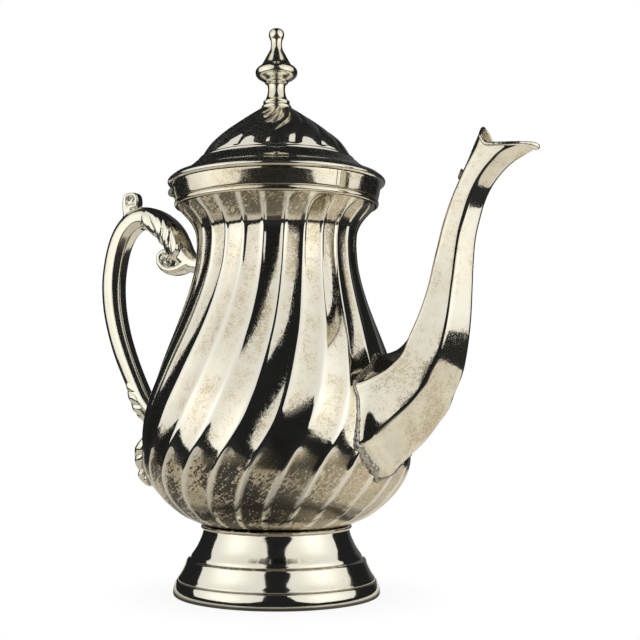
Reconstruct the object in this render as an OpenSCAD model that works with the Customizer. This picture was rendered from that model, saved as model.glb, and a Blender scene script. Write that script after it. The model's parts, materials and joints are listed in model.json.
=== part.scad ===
// Coffee pot: spiral-fluted pear body on a spun foot, hinged swirled lid with a
// turned finial, cast scroll handle and a six-sided swan-neck spout.
// Frame: +Z up, origin at the centre of the foot's base, spout toward +X,
// handle and lid hinge toward -X. Millimetres, real size.

/* [Body] */
// Number of concave flutes round the body
flute_count = 26; // [18:1:36]
// Depth of a flute below its ridges at the belly, mm
flute_depth = 0.85; // [0.4:0.05:2]
// Wall of the body shell, mm
body_wall = 1.1; // [0.8:0.1:2]
// Diameter of one strainer hole behind the spout, mm
strainer_d = 4.5; // [3:0.5:6]

/* [Lid] */
// Number of swirled lobes on the lid
lobe_count = 16; // [10:1:24]
// Depth of the valleys between the lobes, mm
lobe_depth = 0.6; // [0.2:0.1:2]
// Wall of the lid, mm
lid_wall = 0.9; // [0.7:0.1:1.5]
// Radial clearance of the lid's bezel in the collar, mm
bezel_clearance = 0.6; // [0.4:0.1:1.2]

/* [Hinge] */
// Distance of the hinge axis from the pot's axis, mm
hinge_reach = 49.6; // [49:0.1:51]
// Height of the hinge axis, mm
hinge_z = 177.5; // [177:0.1:178]
// Radius of the hinge barrel, mm
barrel_r = 2.1; // [1.8:0.1:2.2]
// Radius of the hinge pin, mm
pin_r = 0.9; // [0.7:0.05:1.1]
// Radial clearance between pin and knuckles, mm
pin_fit = 0.05; // [0.02:0.01:0.1]

/* [Finial] */
// Radius of the finial's stud, mm
stud_r = 2; // [1.5:0.1:2.5]
// Across-flats size of the nut under the lid, mm
nut_af = 7; // [6:0.5:8]

/* [Spout and handle] */
// Wall of the spout halves, mm
spout_wall = 1.2; // [0.9:0.1:1.8]
// Thickness of the handle bar at the grip, mm
bar_t = 10.4; // [8:0.1:12]

/* [Hidden] */
silver = [0.74, 0.72, 0.67];
dull = [0.55, 0.52, 0.46];
fa = 96;

// ---------------------------------------------------------------- helpers
function clamp(x, a, b) = x < a ? a : x > b ? b : x;
function mix(a, b, t) = a + (b - a) * t;
function ease(t) = let (c = clamp(t, 0, 1)) c * c * (3 - 2 * c);
function cat(l) = [for (a = l) for (b = a) b];
// Catmull-Rom value of a list of points at u = 0 .. len-1
function crv(p, u) =
    let (n = len(p) - 1, i = clamp(floor(u), 0, n - 1), f = u - i,
         a = i > 0 ? p[i - 1] : 2 * p[0] - p[1], b = p[i], c = p[i + 1],
         d = i + 2 <= n ? p[i + 2] : 2 * p[n] - p[n - 1])
    0.5 * (2 * b + (c - a) * f + (2 * a - 5 * b + 4 * c - d) * f * f
           + (3 * b - a - 3 * c + d) * f * f * f);
// skin between closed rings of m points, k rings, first index o
function skin(k, m, o = 0, flip = false) =
    [for (r = [0:k - 2]) for (i = [0:m - 1])
        let (a = o + r * m + i, b = o + r * m + (i + 1) % m, c = b + m, d = a + m)
        for (t = [0, 1]) flip ? (t == 0 ? [a, b, c] : [a, c, d])
                              : (t == 0 ? [a, c, b] : [a, d, c])];
// solid swept through closed convex rings
module loft(rings) {
    k = len(rings); m = len(rings[0]);
    pts = concat(cat(rings),
        [[for (j = [0:2]) [for (p = rings[0]) p[j]] * [for (p = rings[0]) 1] / m],
         [for (j = [0:2]) [for (p = rings[k - 1]) p[j]] * [for (p = rings[k - 1]) 1] / m]]);
    c0 = k * m; c1 = k * m + 1; t = (k - 1) * m;
    polyhedron(pts, concat(skin(k, m),
        [for (i = [0:m - 1]) [i, (i + 1) % m, c0]],
        [for (i = [0:m - 1]) [t + (i + 1) % m, t + i, c1]]));
}
// shell between outer and inner rings, joined at the last ring; the first
// ring of each skin is closed by a disc (cup) or joined too (tube)
module shell(outer, inner, cup = false) {
    ka = len(outer); kb = len(inner); m = len(outer[0]);
    o = ka * m; n = o + kb * m;
    za = outer[0][0][2]; zb = inner[0][0][2];
    ta = (ka - 1) * m; tb = o + (kb - 1) * m;
    polyhedron(concat(cat(outer), cat(inner), cup ? [[0, 0, za], [0, 0, zb]] : []),
        concat(skin(ka, m), skin(kb, m, o, true),
            [for (i = [0:m - 1]) let (j = (i + 1) % m)
                for (f = [[ta + i, tb + j, ta + j], [ta + i, tb + i, tb + j]]) f],
            [for (i = [0:m - 1]) let (j = (i + 1) % m)
                for (f = cup ? [[i, j, n], [o + j, o + i, n + 1]]
                             : [[i, j, o + j], [i, o + j, o + i]]) f]));
}
// half shell: open polylines outside and inside, closed along both edges
module clam(outer, inner, flip) {
    k = len(outer); m = len(outer[0]); o = k * m;
    F = concat(
        [for (r = [0:k - 2]) for (i = [0:m - 2]) let (a = r * m + i, b = a + 1, c = b + m, d = a + m)
            for (f = [[a, c, b], [a, d, c]]) f],
        [for (r = [0:k - 2]) for (i = [0:m - 2]) let (a = o + r * m + i, b = a + 1, c = b + m, d = a + m)
            for (f = [[a, b, c], [a, c, d]]) f],
        [for (r = [0:k - 2]) for (e = [0, 1])
            let (i = e == 0 ? 0 : m - 1, a = r * m + i, d = a + m, p = o + a, q = o + d)
            for (f = e == 0 ? [[a, q, d], [a, p, q]] : [[a, d, q], [a, q, p]]) f],
        [for (e = [0, 1]) for (i = [0:m - 2])
            let (r = e == 0 ? 0 : k - 1, a = r * m + i, b = a + 1, p = o + a, q = o + b)
            for (f = e == 0 ? [[a, b, q], [a, q, p]] : [[a, q, b], [a, p, q]]) f]);
    polyhedron(concat(cat(outer), cat(inner)),
        flip ? [for (f = F) [f[0], f[2], f[1]]] : F);
}
// sends what is inside to the mesher, so that faceted bodies are cut quickly
module meshed() { resize([0, 0, 0]) children(); }

// ---------------------------------------------------------------- body
body_prof = [[29.6, 30.2], [30.4, 31.6], [31.8, 35.0], [34.4, 40.5], [37.9, 45.3],
    [41.4, 49.2], [44.9, 52.2], [48.3, 54.5], [51.8, 56.2], [55.3, 57.4],
    [58.8, 58.0], [65.7, 58.3], [72.7, 57.7], [79.7, 56.5], [86.6, 54.6],
    [93.6, 52.1], [100.5, 49.5], [107.5, 46.7], [114.4, 43.9], [121.4, 41.2],
    [128.3, 38.8], [135.3, 36.8], [142.3, 35.4], [149.2, 34.8], [153.5, 34.85],
    [156.8, 35.3], [159.7, 36.55], [162, 38.15], [164, 39.9], [165.4, 41.2], [166.6, 42.2],
    [167.5, 42.8], [169.3, 43.1]];
body_turn = [[29, -46], [32, -45.7], [38, -43.6], [46, -40.4], [52, -37.6], [60, -33.6],
    [67.5, -29.2], [76.2, -24.2], [88.8, -19.2], [102.3, -15.0], [112.5, -11.9],
    [118.3, -10.4], [129.7, -8.0], [140.5, -6.2], [156, -4.8], [164, -4.1], [171, -3.8]];
// turn of the first ridge from the near side toward the spout, degrees
flute_phase = 95.5;
function flute(t, z) = flute_depth * ease((z - 32) / 8)
    * mix(1, 0.8, ease((z - 80) / 60))
    * max(0, 1 - t * t - pow(max(0, z - 162.2) / 5.2, 2));
function body_ring(q, off, seg, grow = 0) =
    let (z = q[0], dz = q[2])
    [for (i = [0:flute_count * seg - 1])
        let (t = 2 * (i % seg) / seg - 1,
             a = 360 * i / (flute_count * seg) + lookup(z, body_turn) + flute_phase,
             r = q[1] - flute(t, z) - off * q[3] + grow)
        [r * sin(a), -r * cos(a), z - off * dz]];
// profile points with their slope: z, R, nz, nR
function prof_n(p) = [for (i = [0:len(p) - 1])
    let (a = p[max(0, i - 1)], b = p[min(len(p) - 1, i + 1)], d = b - a, l = norm(d))
    [p[i][0], p[i][1], -d[1] / l, d[0] / l]];
body_rows = prof_n(body_prof);
module body_solid(g = 0) {
    loft([for (q = body_rows) body_ring(q, 0, 4, g)]);
}
module body_shell() color(silver) meshed() difference() {
    n = len(body_rows);
    shell([for (q = body_rows) body_ring(q, 0, 4)],
          concat([body_ring([30.7, 29, 0, 1], 0, 4)],
                 [for (i = [2:n - 1]) if (i == 2 || i == 5 || i == 8 || i == 12 || (i >= 16 && i <= 28) || i == 30 || i == 32)
                    let (q = body_rows[i])
                    body_ring([q[0], q[1], i == n - 1 ? 0 : q[2], i == n - 1 ? 1 : q[3]], body_wall, 4)]),
          cup = true);
    for (r = [-2:2]) for (c = [-2:2]) if (abs(r) + abs(c) < 4)
        translate([40, c * 7.4, 80 + r * 7.4]) rotate([0, 90, 0])
            cylinder(d = strainer_d, h = 30, $fn = 12);
}

// ---------------------------------------------------------------- foot
foot_out = [[42.9, 6.65], [42.9, 7.0], [42.3, 8.0], [41.3, 9.6], [40.4, 11.4], [39.7, 13.0],
    [39.0, 14.6], [38.5, 15.5], [37.9, 15.9], [37.5, 16.3], [37.2, 16.8], [36.1, 18.3],
    [35.0, 19.9], [34.1, 21.5], [33.3, 23.2], [32.5, 25.0], [32.0, 26.7], [31.5, 28.3]];
module foot_base_ring() color(silver) rotate_extrude($fn = fa)
    polygon([[0, 0], [44.3, 0], [44.75, 0.6], [44.8, 1.6], [44.6, 3.2], [44.0, 4.9],
             [43.4, 6.2], [42.9, 6.6], [41.9, 6.6], [41.9, 0.9], [0, 0.9]]);
module foot() color(silver) rotate_extrude($fn = fa)
    polygon(concat([[41.95, 6.65]], foot_out, [[31.2, 29.5], [20, 29.5], [20, 28.4]],
        [for (i = [16:-1:1]) [foot_out[i][0] - 1.05, foot_out[i][1] - (i > 14 ? 0.8 : i > 2 ? 0.45 : 0)]]));
module foot_solder() color(dull) rotate_extrude($fn = fa)
    polygon([[31.52, 28.4], [31.95, 28.6], [32.3, 29.2], [32.65, 29.9], [33.6, 30.85], [33.0, 30.75],
        [31.8, 30.35], [31.3, 29.9], [31.3, 29.6], [31.52, 29.4]]);

// ---------------------------------------------------------------- neck
module neck_bead() color(silver) rotate_extrude($fn = fa)
    polygon([[43.16, 167.5], [43.6, 167.4], [44.0, 167.7], [44.2, 168.3], [44.2, 168.8],
             [44.0, 169.4], [43.6, 169.7], [43.16, 169.7]]);
module neck_collar() color(silver) rotate_extrude($fn = fa)
    polygon([[42.2, 169.35], [43.1, 169.35], [43.1, 169.75], [43.85, 169.75], [44.1, 171.4],
             [44.5, 173.3], [45.05, 175.0], [45.65, 176.25], [45.4, 176.6], [42.8, 176.6], [42.8, 170.8]]);

// ---------------------------------------------------------------- spout
// back ridge (s,z), front ridge (s,z), half width, half width of the front
// edge, sideways lean of the front edge, extra half width at the lower
// ridge, from the root to the lip
spout_st = [
    [[38, 103.2], [42, 52.2], 21.8, 2.4, 9, 3.4],
    [[47, 103.2], [55, 52.6], 21.8, 2.4, 9, 3.4],
    [[51.5, 103.4], [61, 58.0], 21.2, 2.2, 7, 1.3],
    [[56.2, 104.6], [68.9, 67.4], 19.4, 2.1, 3.5, 1.2],
    [[59.5, 106.7], [73.6, 74.4], 18.0, 1.6, 1.2, 0.9],
    [[62.6, 110.3], [78.2, 80.2], 16.7, 1.2, 0.3, 0.5],
    [[65.4, 115.6], [81.9, 86.8], 15.3, 0.9, 0, 0.2],
    [[68.0, 121.8], [85.4, 94.8], 13.8, 0.8, 0],
    [[70.3, 128.2], [87.5, 105.0], 12.4, 0.8, 0],
    [[72.1, 134.8], [88.8, 116.0], 11.0, 0.8, 0],
    [[73.3, 140.6], [89.4, 127.6], 9.6, 0.8, 0],
    [[74.9, 146.4], [89.9, 138.6], 8.6, 0.8, 0],
    [[76.8, 153.4], [90.8, 148.0], 8.0, 0.8, 0],
    [[79.0, 160.0], [92.6, 155.6], 7.6, 0.8, 0],
    [[81.4, 165.8], [94.6, 162.0], 7.4, 0.8, 0],
    [[83.7, 170.8], [97.4, 167.6], 7.3, 0.8, 0],
    [[85.5, 175.0], [101.2, 172.4], 7.3, 0.8, 0],
    [[87.4, 179.0], [105.6, 176.2], 7.4, 0.8, 0],
    [[89.8, 184.6], [110.2, 178.7], 7.4, 0.8, 0]];
// one side of a section: T, facet, upper ridge, facet, lower ridge, front
function side_pts(st, in = 0, sd = 1) =
    let (T = st[0], B = st[1], d = T - B, L = norm(d), u = d / L,
         w = st[2] - in * 1.0, bw = min(st[3], w * 0.6), wd = len(st) > 5 ? st[5] : 0, v = w + wd,
         t0 = T - u * in * 1.15, b0 = B + u * in * 1.15,
         nu = mix(T, B, st[3] < 1 ? 0.21 : 0.25), nl = mix(T, B, st[3] > 2 ? 0.72 : 0.75),
         P = function(q, y, f = 0) [q[0], sd * y - f * st[4], q[1]], c = 1.2 / max(6, w))
    [P(t0, 0), P(mix(t0, nu, c * 0.6), w * c * 0.75), P(mix(t0, nu, 0.5), w * 0.5),
     P(mix(t0, nu, 1 - c * 0.7), w * (1 - c * 0.7)), P(mix(nu, nl, c * 0.8), w),
     P(mix(nu, nl, 0.5), w + wd * 0.5), P(mix(nu, nl, 1 - c * 0.8), w + wd * (1 - c * 0.8)),
     P(mix(nl, b0, c * 0.7), mix(v, bw, c * 0.7), c * 0.7), P(mix(nl, b0, 0.5), mix(v, bw, 0.5), 0.5),
     P(mix(nl, b0, 1 - c * 0.5), mix(v, bw, 1 - c * 0.5), 1 - c * 0.5), P(b0, bw * 0.45, 1), P(b0, 0, 1)];
lip_out = [[93.5, 0, 191.5], [93.6, 1.2, 191.1], [94.0, 4.0, 189.4], [94.6, 6.5, 187.3],
    [95.6, 7.4, 185.5], [98.6, 8.2, 182.9], [105.5, 7.2, 182.5], [109.5, 5.8, 182.4],
    [112.6, 4.2, 182.3], [114.9, 2.4, 181.9], [115.9, 1.1, 181.4], [116.2, 0, 181.1]];
lip_in = [[94.4, 0, 190.6], [94.5, 0.8, 190.3], [94.9, 3.4, 188.7], [95.5, 5.6, 186.7],
    [96.4, 6.4, 185.1], [99.0, 7.1, 183.1], [105.2, 6.1, 182.7], [109, 4.8, 182.6],
    [112.0, 3.3, 182.5], [113.9, 1.8, 182.2], [114.7, 0.8, 181.9], [115.0, 0, 181.8]];
function mirror_y(l) = [for (p = l) [p[0], -p[1], p[2]]];
function spout_rings(in, sd = 1) = let (lip = in > 0 ? lip_in : lip_out)
    concat([for (st = spout_st) side_pts(st, in, sd)], [sd > 0 ? lip : mirror_y(lip)]);
module spout_outer(g = 0) {
    n = 9;
    loft([for (k = [0:n]) let (st = spout_st[k],
            c = (st[0] + st[1]) / 2, u = (st[0] - st[1]) / norm(st[0] - st[1]),
            s2 = [st[0] + u * g, st[1] - u * g, st[2] + g, st[3] + g * 0.3, st[4], len(st) > 5 ? st[5] : 0],
            a = side_pts(s2, 0, -1), b = side_pts(s2))
        concat(a, [for (i = [len(b) - 2:-1:1]) b[i]])]);
}
module spout_half_left() color(silver) meshed() difference() {
    clam(spout_rings(0), spout_rings(spout_wall), true);
    body_solid(0.03);
}
module spout_half_right() color(silver) meshed() difference() {
    clam(spout_rings(0, -1), spout_rings(spout_wall, -1), false);
    body_solid(0.03);
}
module spout_root_solder() color(dull) meshed() difference() {
    intersection() {
        spout_outer(2.4);
        difference() { body_solid(2.0); translate([-100, -100, -1]) cube([120, 200, 300]); }
    }
    body_solid(0.03);
    spout_outer(0.03);
    for (q = [-0.03, 0.03]) translate([0, q, 0]) {
        clam(spout_rings(0), spout_rings(spout_wall), true);
        clam(spout_rings(0, -1), spout_rings(spout_wall, -1), false);
    }
}
module spout_ridge_solder() color(dull) meshed() difference() {
    translate([84.3, 0, 173.2]) scale([0.9, 1, 1.5]) sphere(r = 1.7, $fn = 20);
    loft([for (k = [12:18]) let (s2 = side_pts(spout_st[k]))
        concat([for (p = s2) [p[0] - (p[1] == 0 ? 0.0 : 0), -p[1] * 1.01, p[2]]],
               [for (i = [len(s2) - 2:-1:1]) [s2[i][0], s2[i][1] * 1.01, s2[i][2]]])]);
}

// ---------------------------------------------------------------- handle
// centre line (reach outward, z), half thickness in the plane, half width
handle_c = [
    [34, 144.6, 3.5, 3.6], [40, 144.9, 3.5, 3.6], [44.6, 146.2, 4.2, 4.2], [48.4, 149.9, 4.8, 5.0],
    [51.4, 154.8, 5.2, 5.6], [54.2, 159.0, 5.4, 6.0], [57.9, 162.9, 5.3, 6.1], [62.6, 166.2, 5.1, 5.9],
    [68.0, 168.2, 5.0, 5.6], [73.6, 168.2, 5.0, 5.3], [78.4, 165.8, 5.1, 5.2], [82.4, 161.6, 5.2, 5.2],
    [85.5, 155.5, 5.2, 5.2], [87.7, 147.3, 5.2, 5.2], [88.8, 138, 5.2, 5.2], [88.1, 126.8, 5.1, 5.1],
    [85.5, 115.4, 4.9, 5.0], [82.1, 105.7, 4.8, 4.9], [78.2, 97.1, 4.6, 4.8], [74.2, 89.2, 4.5, 4.8],
    [70.6, 82.6, 4.6, 4.8], [65.6, 77.0, 4.5, 4.8], [59.5, 72.8, 4.4, 4.8], [52.5, 70.2, 4.2, 4.6]];
function bar_sec(t, w) = let (c = 0.42)
    [[t, 0], [t, w * 0.52], [t * c, w], [-t * c, w], [-t, w * 0.52],
     [-t, 0], [-t, -w * 0.52], [-t * c, -w], [t * c, -w], [t, -w * 0.52]];
function sweep_rings(path, u0, u1, n, sec) = [for (k = [0:n])
    let (u = mix(u0, u1, k / n), q = crv(path, u),
         d = crv(path, min(len(path) - 1, u + 0.02)) - crv(path, max(0, u - 0.02)),
         l = norm([d[0], d[1]]), tx = -d[0] / l, tz = d[1] / l)
    [for (p = sec(q, u)) [-q[0] + p[0] * tz, p[1], q[1] - p[0] * tx]]];
module handle_bar() {
    s = bar_t / 10.4;
    loft(sweep_rings(handle_c, 0, 23, 52, function(q, u) bar_sec(q[2] * s, q[3] * s)));
}
// a curl seen from the side: spiral band of the given radius and width
module curl(r, w, turns = 1.1, dir = 1) {
    n = 20;
    rotate([90, 0, 0]) translate([0, 0, -w]) linear_extrude(height = 2 * w)
        polygon([for (k = [0:n]) let (a = dir * 360 * turns * k / n, q = mix(r, r * 0.62, k / n))
            [q * cos(a), q * sin(a)]]);
}
low_path = [[65.6, 73.0], [69.4, 67.8], [71.6, 62.6], [71.9, 57.6], [70.4, 52.6], [67.6, 48.8]];
module handle_solid() {
    handle_bar();
    // leaf laid over the bow of the bar, its lobes raked toward the curl
    loft(sweep_rings(handle_c, 3.1, 8.2, 24, function(q, u)
        let (e = ease((8.2 - u) / 1.6) * ease((u - 3.0) / 0.7),
             lobe = 0.5 + 0.5 * abs(sin(360 * u * 0.85)),
             w = q[3] * mix(0.8, 1.0, e) + 1.3 * e * lobe, t = q[2] + 0.7 * e)
        [[t, 0], [t * 0.85, w * 0.6], [t * 0.3, w], [-t * 0.35, w * 0.97], [-t * 0.8, w * 0.7],
         [-t * 0.9, 0], [-t * 0.8, -w * 0.7], [-t * 0.35, -w * 0.97], [t * 0.3, -w], [t * 0.85, -w * 0.6]]));
    // volute under the bow
    translate([-58.0, 0, 149.0]) {
        rotate([90, 0, 0]) cylinder(r = 4.5, h = 10, center = true, $fn = 24);
        rotate([90, 0, 0]) cylinder(r = 3.1, h = 11.2, center = true, $fn = 20);
        rotate([90, 0, 0]) cylinder(r = 1.6, h = 12.4, center = true, $fn = 16);
    }
    hull() {
        translate([-57.0, 0, 147.2]) rotate([90, 0, 0]) cylinder(r = 4.0, h = 9, center = true, $fn = 20);
        translate([-51.8, 0, 144.6]) rotate([90, 0, 0]) cylinder(r = 3.8, h = 8.4, center = true, $fn = 20);
    }
    hull() {
        translate([-51.8, 0, 144.6]) rotate([90, 0, 0]) cylinder(r = 3.8, h = 8.4, center = true, $fn = 20);
        translate([-46.5, 0, 145.6]) rotate([90, 0, 0]) cylinder(r = 3.4, h = 7.5, center = true, $fn = 20);
    }
    // thumb piece: a short roll standing on the bar
    hull() {
        translate([-78.6, 0, 168.6]) rotate([90, 0, 0]) cylinder(r = 3.2, h = 7, center = true, $fn = 20);
        translate([-79.8, 0, 175.0]) rotate([90, 0, 0]) cylinder(r = 2.5, h = 7.6, center = true, $fn = 20);
    }
    hull() {
        translate([-79.4, 0, 178.1]) rotate([90, 0, 0]) cylinder(r = 3.7, h = 8.6, center = true, $fn = 24);
        translate([-76.6, 0, 178.2]) rotate([90, 0, 0]) cylinder(r = 3.5, h = 8.6, center = true, $fn = 24);
    }
    // leaf on the outside of the bar's lower end, its tip turned down
    hull() {
        translate([-76.4, 0, 87.6]) rotate([90, 0, 0]) cylinder(r = 3.4, h = 8.6, center = true, $fn = 20);
        translate([-72.9, 0, 80.4]) rotate([90, 0, 0]) cylinder(r = 3.1, h = 9.4, center = true, $fn = 20);
        translate([-70.9, 0, 74.2]) rotate([90, 0, 0]) cylinder(r = 1.5, h = 6, center = true, $fn = 20);
    }
    // lower terminal: a leaf turning out and down from the bar
    loft([for (k = [0:9]) let (f = k / 9,
            c = crv(low_path, f * 5),
            c2 = crv(low_path, min(5, f * 5 + 0.05)),
            c1 = crv(low_path, max(0, f * 5 - 0.05)),
            d = c2 - c1, l = norm(d), tx = -d[0] / l, tz = d[1] / l,
            t = lookup(f, [[0, 2.8], [0.25, 2.6], [0.45, 4.0], [0.7, 3.4], [0.9, 2.4], [1, 1.4]]), w = 5.2 * (1 - 0.55 * f * f) * (0.86 + 0.14 * cos(360 * f * 3)))
        [for (p = [[t, 0], [t * 0.7, w * 0.7], [0, w], [-t * 0.7, w * 0.7], [-t, 0],
                   [-t * 0.7, -w * 0.7], [0, -w], [t * 0.7, -w * 0.7]])
            [-c[0] + p[0] * tz, p[1], c[1] - p[0] * tx]]]);
}
module handle() color(silver) meshed() difference() {
    handle_solid();
    body_solid(0.03);
}
module handle_upper_solder() color(dull) meshed() difference() {
    intersection() {
        translate([-30, 0, 144.6]) rotate([0, -90, 0]) cylinder(r = 5.1, h = 14, $fn = 32);
        body_solid(1.6);
    }
    body_solid(0.03);
    translate([-46, 0, 144.7]) rotate([0, 90, 0]) cylinder(r = 3.72, h = 20, $fn = 32);
    handle_bar();
}
module handle_lower_solder() color(dull) meshed() difference() {
    intersection() {
        translate([-52, 0, 71.0]) rotate([0, -90, 0]) cylinder(r = 7.2, h = 18, $fn = 32);
        body_solid(1.8);
    }
    body_solid(0.03);
    minkowski() {
        intersection() { handle_bar(); translate([-66, -10, 55]) cube([20, 20, 40]); }
        cube(0.05, center = true);
    }
}

// ---------------------------------------------------------------- lid
rim_out = [[44.6, 176.65], [46.4, 176.75], [47.0, 177.2], [47.2, 177.9], [46.9, 178.6],
    [46.1, 179.4], [44.9, 180.2], [43.2, 180.9], [41.2, 181.8], [39.2, 182.9], [37.2, 184.4],
    [35.5, 186.0], [34.3, 186.9], [33.8, 187.6], [33.3, 188.1], [32.5, 188.15]];
module lid_rim() color(silver) rotate_extrude($fn = fa)
    polygon(concat([[42.9, 176.65]], rim_out, [[31.2, 188.15], [31.2, 187.3], [32.7, 187.1],
        [33.4, 186.2], [34.7, 185.0], [36.5, 183.4], [38.6, 181.9], [40.8, 180.7],
        [42.3, 180.0], [42.9, 179.2]]));
module lid_bezel() color(silver) rotate_extrude($fn = fa)
    polygon([[41.4, 172.3], [41.9, 172.1], [42.8 - bezel_clearance, 172.5],
             [42.8 - bezel_clearance, 176.6], [42.85, 176.95], [42.85, 179.1], [41.9, 179.8], [41.4, 177.2]]);
dome_prof = [[188.2, 32.5], [189.2, 32.2], [190.9, 31.2], [192.8, 29.9], [194.8, 28.2],
    [196.6, 26.3], [198.4, 24.2], [200.1, 22.0], [201.9, 19.5], [203.7, 17.0], [205.4, 14.6],
    [207.1, 12.1], [208.7, 9.6], [209.9, 7.7], [210.5, 6.7], [210.5, 2.15]];
// turn of the seams, degrees, with height
dome_turn = [[188, 0], [190.5, 0.4], [193, 2], [195.5, 5.5], [198, 10.5], [200, 15.5], [202, 21],
    [204, 26.5], [206, 32], [208, 38], [210.5, 45]];
dome_rows = prof_n(dome_prof);
function lobe(t, z) = lobe_depth * ease((z - 188.1) / 1.6) * ease((210.1 - z) / 7)
    * pow(abs(t), 3);
function dome_ring(q, off, seg) = [for (i = [0:lobe_count * seg - 1])
    let (t = 2 * (i % seg) / seg - 1,
         a = 360 * i / (lobe_count * seg) + lookup(q[0], dome_turn) + 88.9,
         l = lobe(t, q[0]), r = q[1] - l * q[3] - off * q[3])
    [r * sin(a), -r * cos(a), q[0] - l * q[2] - off * q[2]]];
module lid_dome() color(silver) {
    n = len(dome_rows);
    shell([for (i = [0:n - 1]) let (q = dome_rows[i])
            dome_ring(i > 13 ? [q[0], q[1], 1, 0] : i == 0 ? [q[0], q[1], 0, 1] : q, 0, 4)],
        [for (i = [0:n - 1]) if (i % 2 == 0 || i > 12) let (q = dome_rows[i])
            dome_ring(i > 13 ? [q[0], i == 14 ? 6.2 : q[1], 1, 0] : i == 0 ? [q[0], q[1], 0, 1] : q,
                lid_wall, 4)]);
}

// ---------------------------------------------------------------- finial
finial_out = [[6.6, 210.5], [6.5, 211.2], [6.0, 212.3], [5.8, 212.8], [5.75, 213.3], [5.3, 213.9],
    [4.7, 214.6], [4.2, 216.0], [3.85, 217.6], [3.75, 219.2], [4.0, 220.6], [4.7, 221.6],
    [5.5, 222.6], [6.6, 223.3], [8.1, 224.2], [8.95, 225.2], [9.15, 226.4], [8.9, 227.6],
    [8.2, 228.4], [7.0, 229.2], [6.1, 230.1], [5.4, 231.2], [4.7, 232.5], [4.0, 233.8],
    [3.3, 235.0], [2.65, 236.3], [2.4, 237.6], [2.4, 239.2], [2.6, 240.4], [3.1, 241.4],
    [3.4, 242.4], [3.3, 243.6], [2.7, 244.6], [1.5, 245.3], [0, 245.4]];
module finial() color(silver) difference() {
    rotate_extrude($fn = 64) polygon(concat([[0, 210.5]], finial_out));
    translate([0, 0, 209.7]) cylinder(r = stud_r + 0.05, h = 6.5, $fn = 48);
}
module finial_stud() color(dull) translate([0, 0, 204.3]) cylinder(r = stud_r, h = 11.8, $fn = 48);
module finial_washer() color(dull) translate([0, 0, 208.78]) difference() {
    cylinder(r = 5, h = 0.8, $fn = 48);
    translate([0, 0, -1]) cylinder(r = stud_r + 0.1, h = 3, $fn = 48);
}
module finial_nut() color(dull) translate([0, 0, 205.7]) difference() {
    cylinder(r = nut_af / 2 / cos(30), h = 3.05, $fn = 6);
    translate([0, 0, -1]) cylinder(r = stud_r + 0.05, h = 6, $fn = 48);
}

// ---------------------------------------------------------------- hinge
module barrel(y0, y1) translate([-hinge_reach, y0, hinge_z]) rotate([-90, 0, 0])
    cylinder(r = barrel_r, h = y1 - y0, $fn = 48);
module pin_bore() translate([-hinge_reach, -12, hinge_z]) rotate([-90, 0, 0])
    cylinder(r = pin_r + pin_fit, h = 24, $fn = 48);
body_knuckles = [[-8.4, -5.1], [-1.6, 1.6], [5.1, 8.4]];
lid_knuckles = [[-5.0, -1.7], [1.7, 5.0]];
module hinge_body_leaf() color(silver) difference() {
    union() {
        for (k = body_knuckles) {
            barrel(k[0], k[1]);
            translate([-hinge_reach, k[0], hinge_z - barrel_r]) cube([5, k[1] - k[0], 1.05]);
        }
        translate([-46.9, -8.4, 171.6]) cube([4.0, 16.8, 4.95]);
    }
    rotate_extrude($fn = fa) polygon([[0, 160], [43.5, 160], [43.88, 169.75], [44.13, 171.4],
        [44.53, 173.3], [45.08, 175.0], [45.68, 176.25], [45.68, 180], [0, 180]]);
    pin_bore();
}
module hinge_pin() color(dull) translate([-hinge_reach, -9.2, hinge_z]) rotate([-90, 0, 0])
    cylinder(r = pin_r, h = 18.4, $fn = 48);
module hinge_lid_leaf() color(silver) difference() {
    union() {
        for (k = lid_knuckles) {
            barrel(k[0], k[1]);
            translate([-hinge_reach + 0.2, k[0], hinge_z + 0.9]) cube([4, k[1] - k[0], 1.2]);
            translate([-48.5, k[0], hinge_z + 0.9]) cube([2.8, k[1] - k[0], 3]);
        }
        translate([-48.3, -5, hinge_z + 2.35]) cube([4.6, 10, 1.6]);
    }
    rotate_extrude($fn = fa) polygon(concat([[0, 176.65]],
        [for (i = [0:8]) rim_out[i] + [0.03, 0.03]], [[0, 183]]));
    pin_bore();
}

foot_base_ring();
foot();
foot_solder();
body_shell();
neck_bead();
neck_collar();
spout_half_left();
spout_half_right();
spout_root_solder();
spout_ridge_solder();
handle();
handle_upper_solder();
handle_lower_solder();
hinge_body_leaf();
hinge_pin();
hinge_lid_leaf();
lid_rim();
lid_bezel();
lid_dome();
finial();
finial_stud();
finial_washer();
finial_nut();
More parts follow.
